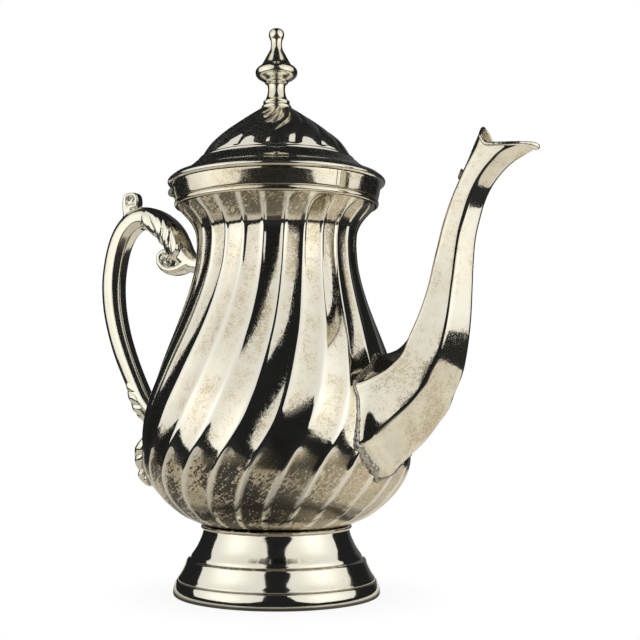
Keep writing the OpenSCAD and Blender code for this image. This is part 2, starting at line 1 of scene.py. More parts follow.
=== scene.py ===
"""Looks of a fluted silver coffee pot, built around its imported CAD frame.

The pot stands on z = 0 with its axis on Z. The spout points along +X, the handle along -X.
Tables and shapes are in millimetres; the floor, panels and camera are in metres.
"""
import bpy, bmesh, json, math
import numpy as np
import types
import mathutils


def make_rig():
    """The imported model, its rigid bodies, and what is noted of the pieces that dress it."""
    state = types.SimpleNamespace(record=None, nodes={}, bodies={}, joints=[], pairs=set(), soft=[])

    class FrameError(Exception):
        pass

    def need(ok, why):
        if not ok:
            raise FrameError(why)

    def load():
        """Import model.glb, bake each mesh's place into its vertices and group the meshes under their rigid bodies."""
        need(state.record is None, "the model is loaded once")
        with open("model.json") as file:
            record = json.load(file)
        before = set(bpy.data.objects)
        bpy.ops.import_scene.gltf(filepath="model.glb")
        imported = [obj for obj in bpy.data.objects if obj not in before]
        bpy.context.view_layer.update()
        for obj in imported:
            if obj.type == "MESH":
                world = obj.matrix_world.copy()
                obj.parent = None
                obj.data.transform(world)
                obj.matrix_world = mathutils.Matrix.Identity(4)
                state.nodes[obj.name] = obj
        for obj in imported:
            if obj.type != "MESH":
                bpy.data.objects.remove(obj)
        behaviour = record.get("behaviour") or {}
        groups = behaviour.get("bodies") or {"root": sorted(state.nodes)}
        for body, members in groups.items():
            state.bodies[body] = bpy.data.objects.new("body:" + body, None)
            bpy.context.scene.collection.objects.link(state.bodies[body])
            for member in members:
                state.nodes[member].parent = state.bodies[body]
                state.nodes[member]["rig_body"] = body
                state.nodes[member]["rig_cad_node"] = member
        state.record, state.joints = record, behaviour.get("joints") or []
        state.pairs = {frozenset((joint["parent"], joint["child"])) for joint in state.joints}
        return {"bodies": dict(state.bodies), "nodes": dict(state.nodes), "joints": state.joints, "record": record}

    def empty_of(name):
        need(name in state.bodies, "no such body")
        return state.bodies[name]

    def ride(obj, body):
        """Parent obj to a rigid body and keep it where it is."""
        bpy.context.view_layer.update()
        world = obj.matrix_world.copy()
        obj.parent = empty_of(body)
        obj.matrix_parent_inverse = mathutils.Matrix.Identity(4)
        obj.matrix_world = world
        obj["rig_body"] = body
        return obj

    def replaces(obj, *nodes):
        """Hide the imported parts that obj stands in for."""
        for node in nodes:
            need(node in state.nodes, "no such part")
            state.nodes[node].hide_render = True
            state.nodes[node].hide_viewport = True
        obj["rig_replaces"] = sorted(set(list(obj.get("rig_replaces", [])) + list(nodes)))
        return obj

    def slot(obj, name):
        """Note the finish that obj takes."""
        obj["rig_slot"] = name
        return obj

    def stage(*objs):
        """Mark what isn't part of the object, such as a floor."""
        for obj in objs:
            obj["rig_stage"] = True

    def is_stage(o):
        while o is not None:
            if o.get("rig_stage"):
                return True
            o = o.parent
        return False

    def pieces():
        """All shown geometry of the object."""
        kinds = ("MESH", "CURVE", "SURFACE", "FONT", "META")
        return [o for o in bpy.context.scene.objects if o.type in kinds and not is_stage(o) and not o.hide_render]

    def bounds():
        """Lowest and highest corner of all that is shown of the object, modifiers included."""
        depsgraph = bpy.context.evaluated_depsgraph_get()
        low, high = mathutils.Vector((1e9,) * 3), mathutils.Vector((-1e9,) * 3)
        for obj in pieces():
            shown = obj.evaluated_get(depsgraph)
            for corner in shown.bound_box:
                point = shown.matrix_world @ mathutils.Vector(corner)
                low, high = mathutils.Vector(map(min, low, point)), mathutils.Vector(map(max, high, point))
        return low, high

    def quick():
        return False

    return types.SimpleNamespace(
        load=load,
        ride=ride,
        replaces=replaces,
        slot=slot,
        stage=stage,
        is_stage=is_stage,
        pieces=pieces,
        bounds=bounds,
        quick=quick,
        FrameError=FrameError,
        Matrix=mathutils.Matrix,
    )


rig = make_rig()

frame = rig.load()
cad_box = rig.bounds()

MM = 0.001
CAMERA_AZIMUTH = -60.0              # degrees from +X, round the pot's axis
TOWARD_CAMERA = (0.5, -0.866)       # x, y of the level direction from pot to camera
CAMERA_RIGHT = (0.866, 0.5)         # x, y of the direction to the camera's right


# ------------------------------------------------------------------ shape helpers
def ease(t):
    """smooth step from 0 to 1"""
    t = np.clip(t, 0, 1)
    return t * t * (3 - 2 * t)


def curve(points, at):
    """Catmull-Rom values of the rows of points, at positions 0 .. len - 1"""
    points = np.asarray(points, float)
    at = np.asarray(at, float)
    i = np.clip(np.floor(at).astype(int), 0, len(points) - 2)
    f = at - i
    if points.ndim > 1:
        f = f[..., None]
    padded = np.concatenate([[2 * points[0] - points[1]], points, [2 * points[-1] - points[-2]]])
    a, b, c, d = (padded[i + k] for k in range(4))
    return 0.5 * (2 * b + (c - a) * f + (2 * a - 5 * b + 4 * c - d) * f ** 2
                  + (3 * b - a - 3 * c + d) * f ** 3)


def noise(x, y, seed):
    """smooth value noise from -1 to 1"""
    lattice = np.random.default_rng(100 + seed).random((64, 64))
    xi, yi = np.floor(x).astype(int), np.floor(y).astype(int)
    fx, fy = x - xi, y - yi
    fx, fy = fx * fx * (3 - 2 * fx), fy * fy * (3 - 2 * fy)

    def corner(a, b):
        return lattice[a % 64, b % 64]

    return (corner(xi, yi) * (1 - fx) * (1 - fy) + corner(xi + 1, yi) * fx * (1 - fy)
            + corner(xi, yi + 1) * (1 - fx) * fy + corner(xi + 1, yi + 1) * fx * fy) * 2 - 1


def cut_corners(points, rounds=1, closed=False):
    """Chaikin smoothing of (x, y) rows; an open line keeps its ends"""
    points = np.asarray(points, float)
    for _ in range(rounds):
        a, b = (points, np.roll(points, -1, 0)) if closed else (points[:-1], points[1:])
        cut = np.stack([0.75 * a + 0.25 * b, 0.25 * a + 0.75 * b], 1).reshape(-1, 2)
        points = cut if closed else np.vstack([points[:1], cut, points[-1:]])
    return points


def resample_loop(points, count):
    """count points evenly spaced along a closed loop, and their distances along it"""
    closed = np.vstack([points, points[:1]])
    steps = np.linalg.norm(np.diff(closed, axis=0), axis=1)
    travelled = np.concatenate([[0], np.cumsum(steps)])
    along = np.linspace(0, travelled[-1], count, endpoint=False)
    return np.stack([np.interp(along, travelled, closed[:, k]) for k in range(3)], -1), along


def full_turn(count):
    return np.linspace(0, 2 * np.pi, count, endpoint=False)


def azimuth(x, y):
    return np.degrees(np.arctan2(y, x))


def turned(radii, heights, angles):
    """vertices of rings round the axis; radii has one column, or one per angle"""
    return np.stack([radii * np.cos(angles), radii * np.sin(angles),
                     heights[:, None] + 0 * angles], -1).reshape(-1, 3)


def turned_from_back(radii, angles, heights):
    """points round the axis, with angles counted from -Y"""
    return np.stack([radii * np.sin(angles), -radii * np.cos(angles), heights + 0 * angles], -1)


def superellipse(c, power):
    return np.sign(c) * np.abs(c) ** power


def quads(rings, count, start=0, flip=False, wrap=True, closed=False):
    """faces between rings of count vertices; closed joins the last ring to the first"""
    ring = np.arange(rings if closed else rings - 1)[:, None]
    i = np.arange(count if wrap else count - 1)[None, :]
    j = (i + 1) % count
    here, after = ring * count, (ring + 1) % rings * count
    a, b, c, d = here + i, here + j, after + j, after + i
    return (np.stack([a, d, c, b] if flip else [a, b, c, d], -1).reshape(-1, 4) + start).tolist()


def caps(count, first, last, first_centre, last_centre):
    """fans that close the ring at index first and the ring at index last"""
    faces = []
    for i in range(count):
        j = (i + 1) % count
        faces.append([first + j, first + i, first_centre])
        faces.append([last + i, last + j, last_centre])
    return faces


# ------------------------------------------------------------------ object helpers
def link_object(name, data):
    obj = bpy.data.objects.new(name, data)
    bpy.context.scene.collection.objects.link(obj)
    return obj


def add_attribute(mesh, name, values):
    attribute = mesh.attributes.new(name, "FLOAT", "POINT")
    attribute.data.foreach_set("value", np.asarray(values, np.float32))


def mark_sharp(mesh, cosine, outward=False):
    """sharp edges where the face normals' product is below cosine; outward mends the normals"""
    bm = bmesh.new()
    bm.from_mesh(mesh)
    if outward:
        bmesh.ops.recalc_face_normals(bm, faces=bm.faces)
    for edge in bm.edges:
        faces = edge.link_faces
        if len(faces) == 2 and faces[0].normal.dot(faces[1].normal) < cosine:
            edge.smooth = False
    bm.to_mesh(mesh)
    bm.free()


def make(name, verts, faces, material, body="pot", node=None, slot=None, sharp=None,
         attributes=None):
    """smooth-shaded object from millimetres, riding a body and standing in for a CAD node"""
    mesh = bpy.data.meshes.new(name)
    mesh.from_pydata((np.asarray(verts, float) * MM).tolist(), [],
                     [list(map(int, face)) for face in faces])
    mesh.validate()
    for key, values in (attributes or {}).items():
        add_attribute(mesh, key, values)
    mesh.shade_smooth()
    if sharp:
        mark_sharp(mesh, math.cos(math.radians(sharp)))
    mesh.materials.append(material)
    obj = link_object(name, mesh)
    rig.ride(obj, body)
    if node:
        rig.replaces(obj, node)
    if slot:
        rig.slot(obj, slot)
    return obj


def second_material(obj, material, first, count):
    """gives count faces, from face first on, a second material"""
    obj.data.materials.append(material)
    index = np.zeros(len(obj.data.polygons), np.int32)
    index[first:first + count] = 1
    obj.data.polygons.foreach_set("material_index", index)


def evaluated_mesh(obj, **options):
    depsgraph = bpy.context.evaluated_depsgraph_get()
    return bpy.data.meshes.new_from_object(obj.evaluated_get(depsgraph), depsgraph=depsgraph,
                                           **options)


def lathe(name, profile, material, node, segments=240, body="pot"):
    """closed profile (radius, z), outside going up, turned round the axis"""
    p = cut_corners(profile, closed=True)
    make(name, turned(p[:, :1], p[:, 1], full_turn(segments)),
         quads(len(p), segments, closed=True), material, body, node, "silver_spun", sharp=50)


def bead(name, path, radius, material, node=None, slot=None, sides=14, squash=(1, 1), seed=0,
         lump=0.25, up=None):
    """lumpy closed bead along a path; squash scales it along up (or the radius) and across"""
    along = np.roll(path, -1, 0) - np.roll(path, 1, 0)
    along /= np.linalg.norm(along, axis=1)[:, None]
    ref = path * [1, 1, 0] if up is None else np.broadcast_to(np.asarray(up, float), path.shape)
    ref = ref / np.linalg.norm(ref, axis=1)[:, None]
    out = ref - (ref * along).sum(1)[:, None] * along
    out /= np.linalg.norm(out, axis=1)[:, None]
    across = np.cross(along, out)
    count = len(path)
    radius = np.broadcast_to(np.asarray(radius, float), (count,))
    angle = full_turn(sides)
    lumps = 1 + lump * noise(np.arange(count)[:, None] * 0.35 + 9, angle[None, :] * 1.3 + seed,
                             seed)
    verts = path[:, None, :] + (radius[:, None] * lumps)[:, :, None] * (
        np.cos(angle)[None, :, None] * out[:, None, :] * squash[0]
        + np.sin(angle)[None, :, None] * across[:, None, :] * squash[1])
    make(name, verts.reshape(-1, 3), quads(count, sides, closed=True), material, "pot", node, slot)


def unit_sphere(create, **settings):
    """vertices and faces of a bmesh sphere of radius 1"""
    bm = bmesh.new()
    create(bm, radius=1.0, **settings)
    verts = np.array([v.co[:] for v in bm.verts], float)
    faces = [[v.index for v in face.verts] for face in bm.faces]
    bm.free()
    return verts, faces


# ------------------------------------------------------------------ shader helpers
class Graph:
    """Short ways to add nodes to one node tree."""

    def __init__(self, tree):
        self.tree = tree

    def feed(self, socket, value):
        """links a socket, or sets it to a number or an RGB colour"""
        if isinstance(value, bpy.types.NodeSocket):
            self.tree.links.new(value, socket)
        else:
            socket.default_value = (*value, 1) if isinstance(value, tuple) else value

    def node(self, kind, inputs=None, **settings):
        node = self.tree.nodes.new("ShaderNode" + kind)
        for name, value in settings.items():
            setattr(node, name, value)
        for name, value in (inputs or {}).items():
            self.feed(node.inputs[name], value)
        return node

    def math(self, operation, *operands, clamp=False):
        return self.node("Math", dict(enumerate(operands)), operation=operation,
                         use_clamp=clamp).outputs[0]

    def add(self, a, b):
        return self.math("ADD", a, b)

    def subtract(self, a, b):
        return self.math("SUBTRACT", a, b)

    def multiply(self, a, b, clamp=False):
        return self.math("MULTIPLY", a, b, clamp=clamp)

    def noise(self, vector, scale, detail, roughness=0.5):
        return self.node("TexNoise", {"Vector": vector, "Scale": scale, "Detail": detail,
                                      "Roughness": roughness}).outputs["Fac"]

    def attribute(self, name):
        return self.node("Attribute", attribute_name=name).outputs["Fac"]

    def map_range(self, value, from_min, from_max, to_min=0.0, to_max=1.0, kind="LINEAR"):
        return self.node("MapRange", {"Value": value, "From Min": from_min, "From Max": from_max,
                                      "To Min": to_min, "To Max": to_max},
                         interpolation_type=kind).outputs[0]

    def ramp(self, factor, stops):
        """stops are (position, RGB colour), in order"""
        node = self.node("ValToRGB", {"Fac": factor})
        elements = node.color_ramp.elements
        for element, (place, colour) in zip(elements, (stops[0], stops[-1])):
            element.position, element.color = place, (*colour, 1)
        for place, colour in stops[1:-1]:
            elements.new(place).color = (*colour, 1)
        return node.outputs["Color"]

    def mix_colour(self, factor, a, b):
        return self.node("Mix", {"A": a, "B": b, "Factor": factor},
                         data_type="RGBA").outputs["Result"]

    def mix_shader(self, factor, a, b):
        return self.node("MixShader", {0: factor, 1: a, 2: b}).outputs[0]

    def emission(self, colour, strength):
        return self.node("Emission", {"Color": colour, "Strength": strength}).outputs[0]

    def light_path(self, output):
        return self.node("LightPath").outputs[output]


def empty_graph(owner, output="OutputMaterial"):
    """cleared node tree of a material or world, and the surface socket of its output"""
    owner.use_nodes = True
    owner.node_tree.nodes.clear()
    graph = Graph(owner.node_tree)
    return graph, graph.node(output).inputs[0]


def never_sampled(owner, setting):
    """keeps a glowing material or world out of Cycles' light sampling"""
    try:
        setattr(owner.cycles, setting, "NONE")
    except AttributeError:      # owner.cycles is missing where Cycles isn't enabled
        pass


# ------------------------------------------------------------------ silver
# near-black of the dark tarnish in the flutes and of the painted shade low on the body and on the camera's left
DARK_TARNISH_AND_SHADE = (0.085, 0.080, 0.070)
SPECKLE_DARKENING = (0.62, 0.56, 0.5)       # of the tan colour, per channel


def flute_tarnish_and_painted_shade(graph, position, recess):
    """mask of dark patches with polishing scratches, low on one side and in the flutes: tarnish in the flutes, with
    painted shade that keeps it low down and on the camera's left side
    """
    low = graph.attribute("low")
    patches = graph.noise(position, scale=52.0, detail=4.0, roughness=0.6)
    specks = graph.noise(position, scale=900.0, detail=3.0, roughness=0.65)
    # streaks that run up and to the camera's right
    x, y, z = graph.node("SeparateXYZ", {0: position}).outputs
    right = graph.add(graph.multiply(x, CAMERA_RIGHT[0]), graph.multiply(y, CAMERA_RIGHT[1]))
    streaked = graph.node("CombineXYZ", {0: graph.multiply(graph.subtract(right, z), 1050.0),
                                         1: graph.multiply(graph.add(right, z), 150.0)})
    scratches = graph.noise(streaked.outputs[0], scale=1.0, detail=2.0, roughness=0.5)
    weight = {"patches": 1.0, "specks": 0.8, "scratches": 0.55}
    threshold, contrast = 1.10, 14.0
    mask = graph.add(graph.multiply(patches, weight["patches"]),
                     graph.multiply(specks, weight["specks"]))
    mask = graph.add(mask, graph.multiply(scratches, weight["scratches"]))
    mask = graph.multiply(graph.subtract(mask, threshold), contrast, clamp=True)
    ridge_limit, ridge_contrast = 0.28, 4.0     # the ridges stay bright
    in_flute = graph.multiply(graph.subtract(recess, ridge_limit), ridge_contrast, clamp=True)
    mask = graph.multiply(mask, in_flute, clamp=True)
    # painted shade: the dark patches are kept low on the body and on the camera's left side
    mask = graph.multiply(mask, graph.multiply(low, graph.attribute("side")), clamp=True)
    amount = 1.0
    return graph.multiply(mask, amount, clamp=True)


def silver(name, clean=(0.80, 0.775, 0.70), tan=(0.60, 0.49, 0.32), grain=0.5, rough=0.10,
           tint=0.35, bump=0.05, brushed=0.0, bloom=0.0, fluted=False):
    """tarnished silver plate: bright metal with warm clouds and speckle

    clean, tan: colours of metal and tarnish; grain: how far the tarnish spreads;
    tint: warmth of the clouds; brushed: height of turning lines; bloom: amount of dull
    patches; fluted: reads the body's recess, low and side attributes.
    """
    material = bpy.data.materials.new(name)
    graph, output = empty_graph(material)
    add, subtract, multiply = graph.add, graph.subtract, graph.multiply
    position = graph.node("TexCoord").outputs["Object"]
    cloud = graph.noise(position, scale=38.0, detail=5.0, roughness=0.6)
    fine = graph.noise(position, scale=1400.0, detail=3.0, roughness=0.7)
    coarse = graph.noise(position, scale=480.0, detail=4.0, roughness=0.65)
    middle = graph.noise(position, scale=120.0, detail=4.0, roughness=0.6)

    # where tarnish sits: in clouds, more in the flutes and low down; the extra low down, on the downward-facing belly
    # and under the neck, is tarnish with painted shade
    cloud_weight, middle_weight = 1.1, 0.5
    threshold = 0.84 - 0.35 * grain
    area = add(multiply(cloud, cloud_weight), multiply(middle, middle_weight))
    area = subtract(area, threshold)
    if fluted:
        recess = graph.attribute("recess")
        recess_gain, low_tarnish_and_shade_gain = 1.35, 0.45
        area = multiply(area, multiply(recess, recess_gain, clamp=True))
        area = add(area, multiply(graph.attribute("low"), multiply(recess, low_tarnish_and_shade_gain)))
    area = multiply(area, 2.0, clamp=True)

    # speckle shows where the grain passes a threshold that falls with area
    fine_weight, coarse_weight = 0.72, 0.43
    bare_threshold, threshold_drop, contrast, area_gain = 0.72, 0.22, 9.0, 1.5
    grains = add(multiply(fine, fine_weight), multiply(coarse, coarse_weight))
    limit = subtract(bare_threshold, multiply(area, threshold_drop))
    speckle = multiply(subtract(grains, limit), contrast, clamp=True)
    speckle = multiply(speckle, multiply(area, area_gain, clamp=True), clamp=True)

    warm = tuple(c * (1 - tint) + t * tint * 1.25 for c, t in zip(clean, tan))
    speckle_cover = 0.66
    dark_tan = tuple(t * d for t, d in zip(tan, SPECKLE_DARKENING))
    speckle_colour = graph.ramp(coarse, [(0.30, dark_tan), (0.62, tan)])
    colour = graph.mix_colour(multiply(speckle, speckle_cover),
                              graph.mix_colour(area, clean, warm), speckle_colour)
    # each kind of tarnish adds its own roughness
    area_rough, speckle_rough, dark_rough = 0.03, 0.06, 0.22
    roughness = add(add(rough, multiply(area, area_rough)), multiply(speckle, speckle_rough))
    if fluted:
        # dark tarnish in the flutes, with painted shade low down and on the camera's left side
        dark = flute_tarnish_and_painted_shade(graph, position, recess)
        colour = graph.mix_colour(dark, colour, DARK_TARNISH_AND_SHADE)
        roughness = add(roughness, multiply(dark, dark_rough))
    smear = graph.noise(position, scale=60.0, detail=2.0)
    smear_middle, smear_rough, least_rough = 0.5, 0.04, 0.035
    roughness = add(roughness, multiply(subtract(smear, smear_middle), smear_rough))
    roughness = graph.math("MAXIMUM", roughness, least_rough)

    # height: pits under the speckle, faint waves, and turning lines where spun
    pit_height, wave_height = -0.28, 0.8
    height = add(multiply(speckle, pit_height), multiply(middle, wave_height))
    if brushed > 0:
        x, y, z = graph.node("SeparateXYZ", {0: position}).outputs
        stretch = 0.03
        stretched = graph.node("CombineXYZ", {0: multiply(x, stretch), 1: multiply(y, stretch),
                                              2: z})
        lines = graph.noise(stretched.outputs[0], scale=1400.0, detail=2.0, roughness=0.5)
        height = add(height, multiply(lines, brushed))
    normal = graph.node("Bump", {"Strength": bump, "Distance": 0.0006, "Height": height})
    surface = graph.node("BsdfPrincipled", {"Metallic": 1.0, "Base Color": colour,
                                            "Roughness": roughness,
                                            "Normal": normal.outputs[0]}).outputs[0]
    if bloom > 0:
        # dull patches of the same metal
        dull = graph.node("BsdfPrincipled", {"Metallic": 1.0, "Roughness": 0.46,
                                             "Base Color": colour}).outputs[0]
        patches = graph.noise(position, scale=70.0, detail=6.0, roughness=0.65)
        patch_limit, patch_contrast = 0.34, 3.2 * bloom
        cover = multiply(subtract(patches, patch_limit), patch_contrast, clamp=True)
        surface = graph.mix_shader(cover, surface, dull)
    graph.feed(output, surface)
    return material


BODY_SILVER = silver("silver_body", clean=(0.82, 0.80, 0.74), tan=(0.50, 0.41, 0.26), grain=1.0,
                     rough=0.046, tint=0.50, bump=0.06, fluted=True)
INSIDE_SILVER = silver("silver_inside", clean=(0.55, 0.50, 0.40), tan=(0.42, 0.32, 0.16),
                       grain=0.9, rough=0.30, bump=0.12)
SPUN_SILVER = silver("silver_spun", grain=0.16, rough=0.07, brushed=0.30, tint=0.2, bump=0.045)
COLLAR_SILVER = silver("silver_collar", clean=(0.80, 0.77, 0.68), tan=(0.50, 0.40, 0.25),
                       grain=0.75, rough=0.06, tint=0.6, bump=0.05, bloom=0.05)
LID_SILVER = silver("silver_lid", grain=0.35, rough=0.055, tint=0.25, bump=0.035, bloom=0.10)
SPOUT_SILVER = silver("silver_spout", clean=(0.82, 0.80, 0.73), tan=(0.50, 0.42, 0.27),
                      grain=0.95, rough=0.050, tint=0.5, bump=0.05)
CAST_SILVER = silver("silver_cast", clean=(0.80, 0.78, 0.70), grain=0.42, rough=0.13, bump=0.12)
FINIAL_SILVER = silver("silver_finial", clean=(0.83, 0.80, 0.69), grain=0.40, rough=0.15,
                       bump=0.06)
SOLDER = silver("solder_dull", clean=(0.46, 0.45, 0.42), tan=(0.30, 0.26, 0.18), grain=0.9,
                rough=0.30, bump=0.5)
HINGE_METAL = silver("hinge_tarnished", clean=(0.15, 0.145, 0.13), tan=(0.10, 0.085, 0.06),
                     grain=0.7, rough=0.30, bump=0.2)
BRASS = silver("brass_fixing", clean=(0.62, 0.50, 0.28), tan=(0.35, 0.26, 0.12), grain=0.6,
               rough=0.22, bump=0.1)

# ------------------------------------------------------------------ body
# z, radius
BODY = np.array([
    [29.6, 30.2], [30.4, 31.6], [31.8, 35.0], [34.4, 40.5], [37.9, 45.3], [41.4, 49.2],
    [44.9, 52.2], [48.3, 54.5], [51.8, 56.2], [55.3, 57.4], [58.8, 58.0], [65.7, 58.3],
    [72.7, 57.7], [79.7, 56.5], [86.6, 54.6], [93.6, 52.1], [100.5, 49.5], [107.5, 46.7],
    [114.4, 43.9], [121.4, 41.2], [128.3, 38.8], [135.3, 36.8], [142.3, 35.4], [149.2, 34.8],
    [153.5, 34.85], [156.8, 35.3], [159.7, 36.55], [162, 38.15], [164, 39.9], [165.4, 41.2],
    [166.6, 42.2], [167.5, 42.8], [169.3, 43.1]])
# z, degrees by which the flutes have turned round the body
TURN = np.array([
    [29, -46], [32, -45.7], [38, -43.6], [46, -40.4], [52, -37.6], [60, -33.6], [67.5, -29.2],
    [76.2, -24.2], [88.8, -19.2], [102.3, -15.0], [112.5, -11.9], [118.3, -10.4], [129.7, -8.0],
    [140.5, -6.2], [156, -4.8], [164, -4.1], [171, -3.8]])
FLUTES = 26
FLUTE_DEPTH = 0.85
FLUTE_START = 95.5          # degrees
FLUTE_COLUMNS = 16          # vertices across one flute
BODY_COLUMNS = FLUTES * FLUTE_COLUMNS
BODY_STEPS = 7              # rows between two stations of the outer skin
BODY_WALL = 1.1

# the turn, smoothed along the height
turn_z = np.linspace(28, 172, 1441)
kernel = np.exp(-0.5 * (np.arange(-40, 41) / 16.0) ** 2)
turn_smooth = np.convolve(np.pad(np.interp(turn_z, TURN[:, 0], TURN[:, 1]), 40, mode="edge"),
                          kernel / kernel.sum(), "valid")
body_profile = curve(BODY, np.linspace(0, len(BODY) - 1, BODY_STEPS * (len(BODY) - 1) + 1))


def turn(z):
    return np.interp(z, turn_z, turn_smooth)


def arris(t, start=0.90):
    """flute section 1 - t^2 with its arrises softly rounded"""
    u = np.abs(t)
    return np.where(u < start, 1 - u * u,
                    (1 - start) + start / (1 - start) * (1 - u) ** 2) - (1 - start)


def flute(t, z):
    """depth of a flute at t (-1 .. 1 across it) and height z"""
    depth = FLUTE_DEPTH * ease((z - 32) / 8) * (1 - 0.12 * ease((z - 80) / 60))
    run_out = (np.maximum(0, z - 162.2) / 5.3) ** 2
    section = arris(t) - run_out
    cut = 0.5 * (section + np.sqrt(section * section + 0.0016))
    # toward neck and foot the flutes are flatter floored, with broad rounded ridges
    flat = np.maximum(ease((z - 128) / 30), 0.85 * ease((66 - z) / 7))
    return depth * ((1 - flat) * cut + flat * (0.52 * ease(section / 0.42) + 0.48 * cut))


def body_radius(degrees, z):
    """radius of the body's outer skin at an azimuth and height"""
    from_flute = degrees + 90 - turn(z) - FLUTE_START
    t = 2 * np.mod(from_flute * FLUTES / 360, 1.0) - 1
    return np.interp(z, body_profile[:, 0], body_profile[:, 1]) - flute(t, z)


body_column = np.arange(BODY_COLUMNS)
across_flute = 2 * (body_column % FLUTE_COLUMNS) / FLUTE_COLUMNS - 1


def profile_normal(rows):
    """z and radius parts of the outward normal of (z, radius) rows, as columns"""
    d = np.gradient(rows, axis=0)
    length = np.hypot(d[:, 0], d[:, 1])
    return (-d[:, 1] / length)[:, None], (d[:, 0] / length)[:, None]


def body_skin(rows, inset):
    normal_z, normal_r = profile_normal(rows)
    z = rows[:, :1]
    angle = np.radians(360 * body_column / BODY_COLUMNS + turn(z) + FLUTE_START)
    radius = rows[:, 1:] - flute(across_flute[None, :], z) - inset * normal_r
    # very small waves in the shell
    radius = radius + 0.10 * noise(angle * 4.1 + 11, z * 0.055 + 5, 1) * ease((z - 34) / 8)
    return turned_from_back(radius, angle, z - inset * normal_z)


def build_body():
    outer = body_skin(body_profile, 0)
    inner = body_skin(body_profile[BODY_STEPS::BODY_STEPS], BODY_WALL)
    inner[-1, :, 2] = BODY[-1, 0]
    columns = BODY_COLUMNS
    inner_start = len(outer) * columns
    centre = inner_start + len(inner) * columns
    verts = np.vstack([outer.reshape(-1, 3), inner.reshape(-1, 3),
                       [[0, 0, outer[0, 0, 2]], [0, 0, inner[0, 0, 2]]]])
    i = body_column
    j = (i + 1) % columns
    rim_out, rim_in = inner_start - columns, centre - columns
    faces = quads(len(outer), columns)
    faces += quads(len(inner), columns, inner_start, flip=True)
    faces += np.stack([rim_out + i, rim_out + j, rim_in + j, rim_in + i], -1).tolist()
    faces += caps(columns, 0, inner_start, centre, centre + 1)

    # recess: 1 on the floor of a flute; low: foot and neck, the downward-facing parts that take painted shade; side:
    # round azimuth -118, on the camera's left, where the painted shade is strongest
    z = verts[:, 2]
    recess = np.concatenate([np.tile(1 - across_flute ** 2, len(outer)),
                             np.full(len(inner) * columns, 0.9), [1, 1]])
    low = ease((66 - z) / 9.0) + 0.75 * ease((z - 158.0) / 2.5)
    facing = np.cos(np.radians(azimuth(verts[:, 0], verts[:, 1]) + 118))
    side = 0.25 + 0.75 * ease((facing + 0.15) / 0.9)
    body = make("body_shell_skin", verts, faces, BODY_SILVER, node="body_shell",
                slot="silver_body", attributes={"recess": recess, "low": low, "side": side})
    second_material(body, INSIDE_SILVER, (len(outer) - 1) * columns, (len(inner) - 1) * columns)
    cut_strainer(body)


HOLE_PITCH, HOLE_RADIUS, HOLE_CENTRE_Z = 7.4, 2.25, 80


def cut_strainer(body):
    """grid of holes without its corners, cut through the wall behind the spout"""
    bm = bmesh.new()
    for row in range(-2, 3):
        for column in range(-2, 3):
            if abs(row) + abs(column) < 4:
                place = (55 * MM, column * HOLE_PITCH * MM,
                         (HOLE_CENTRE_Z + row * HOLE_PITCH) * MM)
                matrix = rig.Matrix.Translation(place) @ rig.Matrix.Rotation(math.pi / 2, 4, "Y")
                bmesh.ops.create_cone(bm, cap_ends=True, segments=24, radius1=HOLE_RADIUS * MM,
                                      radius2=HOLE_RADIUS * MM, depth=30 * MM, matrix=matrix)
    mesh = bpy.data.meshes.new("cut")
    bm.to_mesh(mesh)
    bm.free()
    cutter = link_object("cut", mesh)
    holes = body.modifiers.new("holes", "BOOLEAN")
    holes.operation = "DIFFERENCE"
    holes.solver = "EXACT"
    holes.object = cutter
    pierced = evaluated_mesh(body, preserve_all_data_layers=True)
    body.modifiers.clear()
    # a failed boolean leaves almost nothing; the whole shell is kept then
    if len(pierced.polygons) > 1000:
        whole = body.data
        body.data = pierced
        pierced.name = "body_shell_skin"
        bpy.data.meshes.remove(whole)
    bpy.data.objects.remove(cutter)


# ------------------------------------------------------------------ turned pieces
# all profiles: radius, z
FOOT_RING = [
    [41.9, 0], [43.9, 0], [44.5, 0.2], [44.8, 0.8], [44.8, 1.8], [44.6, 3.2], [44.1, 4.7],
    [43.5, 6.0], [43.2, 6.45], [42.7, 6.6], [41.9, 6.6]]
FOOT_OUTSIDE = [
    [42.4, 6.65], [42.75, 6.75], [42.85, 7.1], [42.7, 7.5], [42.2, 8.2], [41.3, 9.6],
    [40.4, 11.4], [39.7, 13.0], [39.15, 14.4], [38.85, 15.1], [38.45, 15.5], [37.9, 15.75],
    [37.45, 15.95], [37.2, 16.4], [36.9, 17.2], [36.1, 18.3], [35.0, 19.9], [34.1, 21.5],
    [33.3, 23.2], [32.5, 25.0], [32.0, 26.7], [31.7, 27.9], [31.5, 28.6], [31.2, 29.2],
    [30.6, 29.5]]
FOOT_INSIDE = [
    [20, 29.5], [20, 28.5], [30.0, 28.4], [30.6, 26.5], [31.4, 23.6], [33.0, 20.6], [35.0, 17.4],
    [36.3, 15.6], [37.9, 13.6], [40.1, 9.6], [41.6, 7.4], [41.9, 6.65]]
DISC_TOP = 0.9
DISC_RINGS = np.array([[39.0, 0.12], [41.2, 0.0], [42.1, 0.0], [42.1, DISC_TOP]])
NECK_BEAD = [
    [43.16, 167.5], [43.6, 167.35], [44.05, 167.6], [44.3, 168.2], [44.3, 168.9],
    [44.05, 169.5], [43.6, 169.72], [43.16, 169.7]]
COLLAR = [
    [42.2, 169.35], [43.1, 169.35], [43.1, 169.75], [43.8, 169.72], [43.98, 169.95],
    [44.1, 170.3], [44.45, 172.0], [44.75, 173.5], [45.05, 175.0], [45.28, 176.1],
    [45.25, 176.35], [45.25, 176.6], [42.8, 176.6], [42.8, 170.8]]
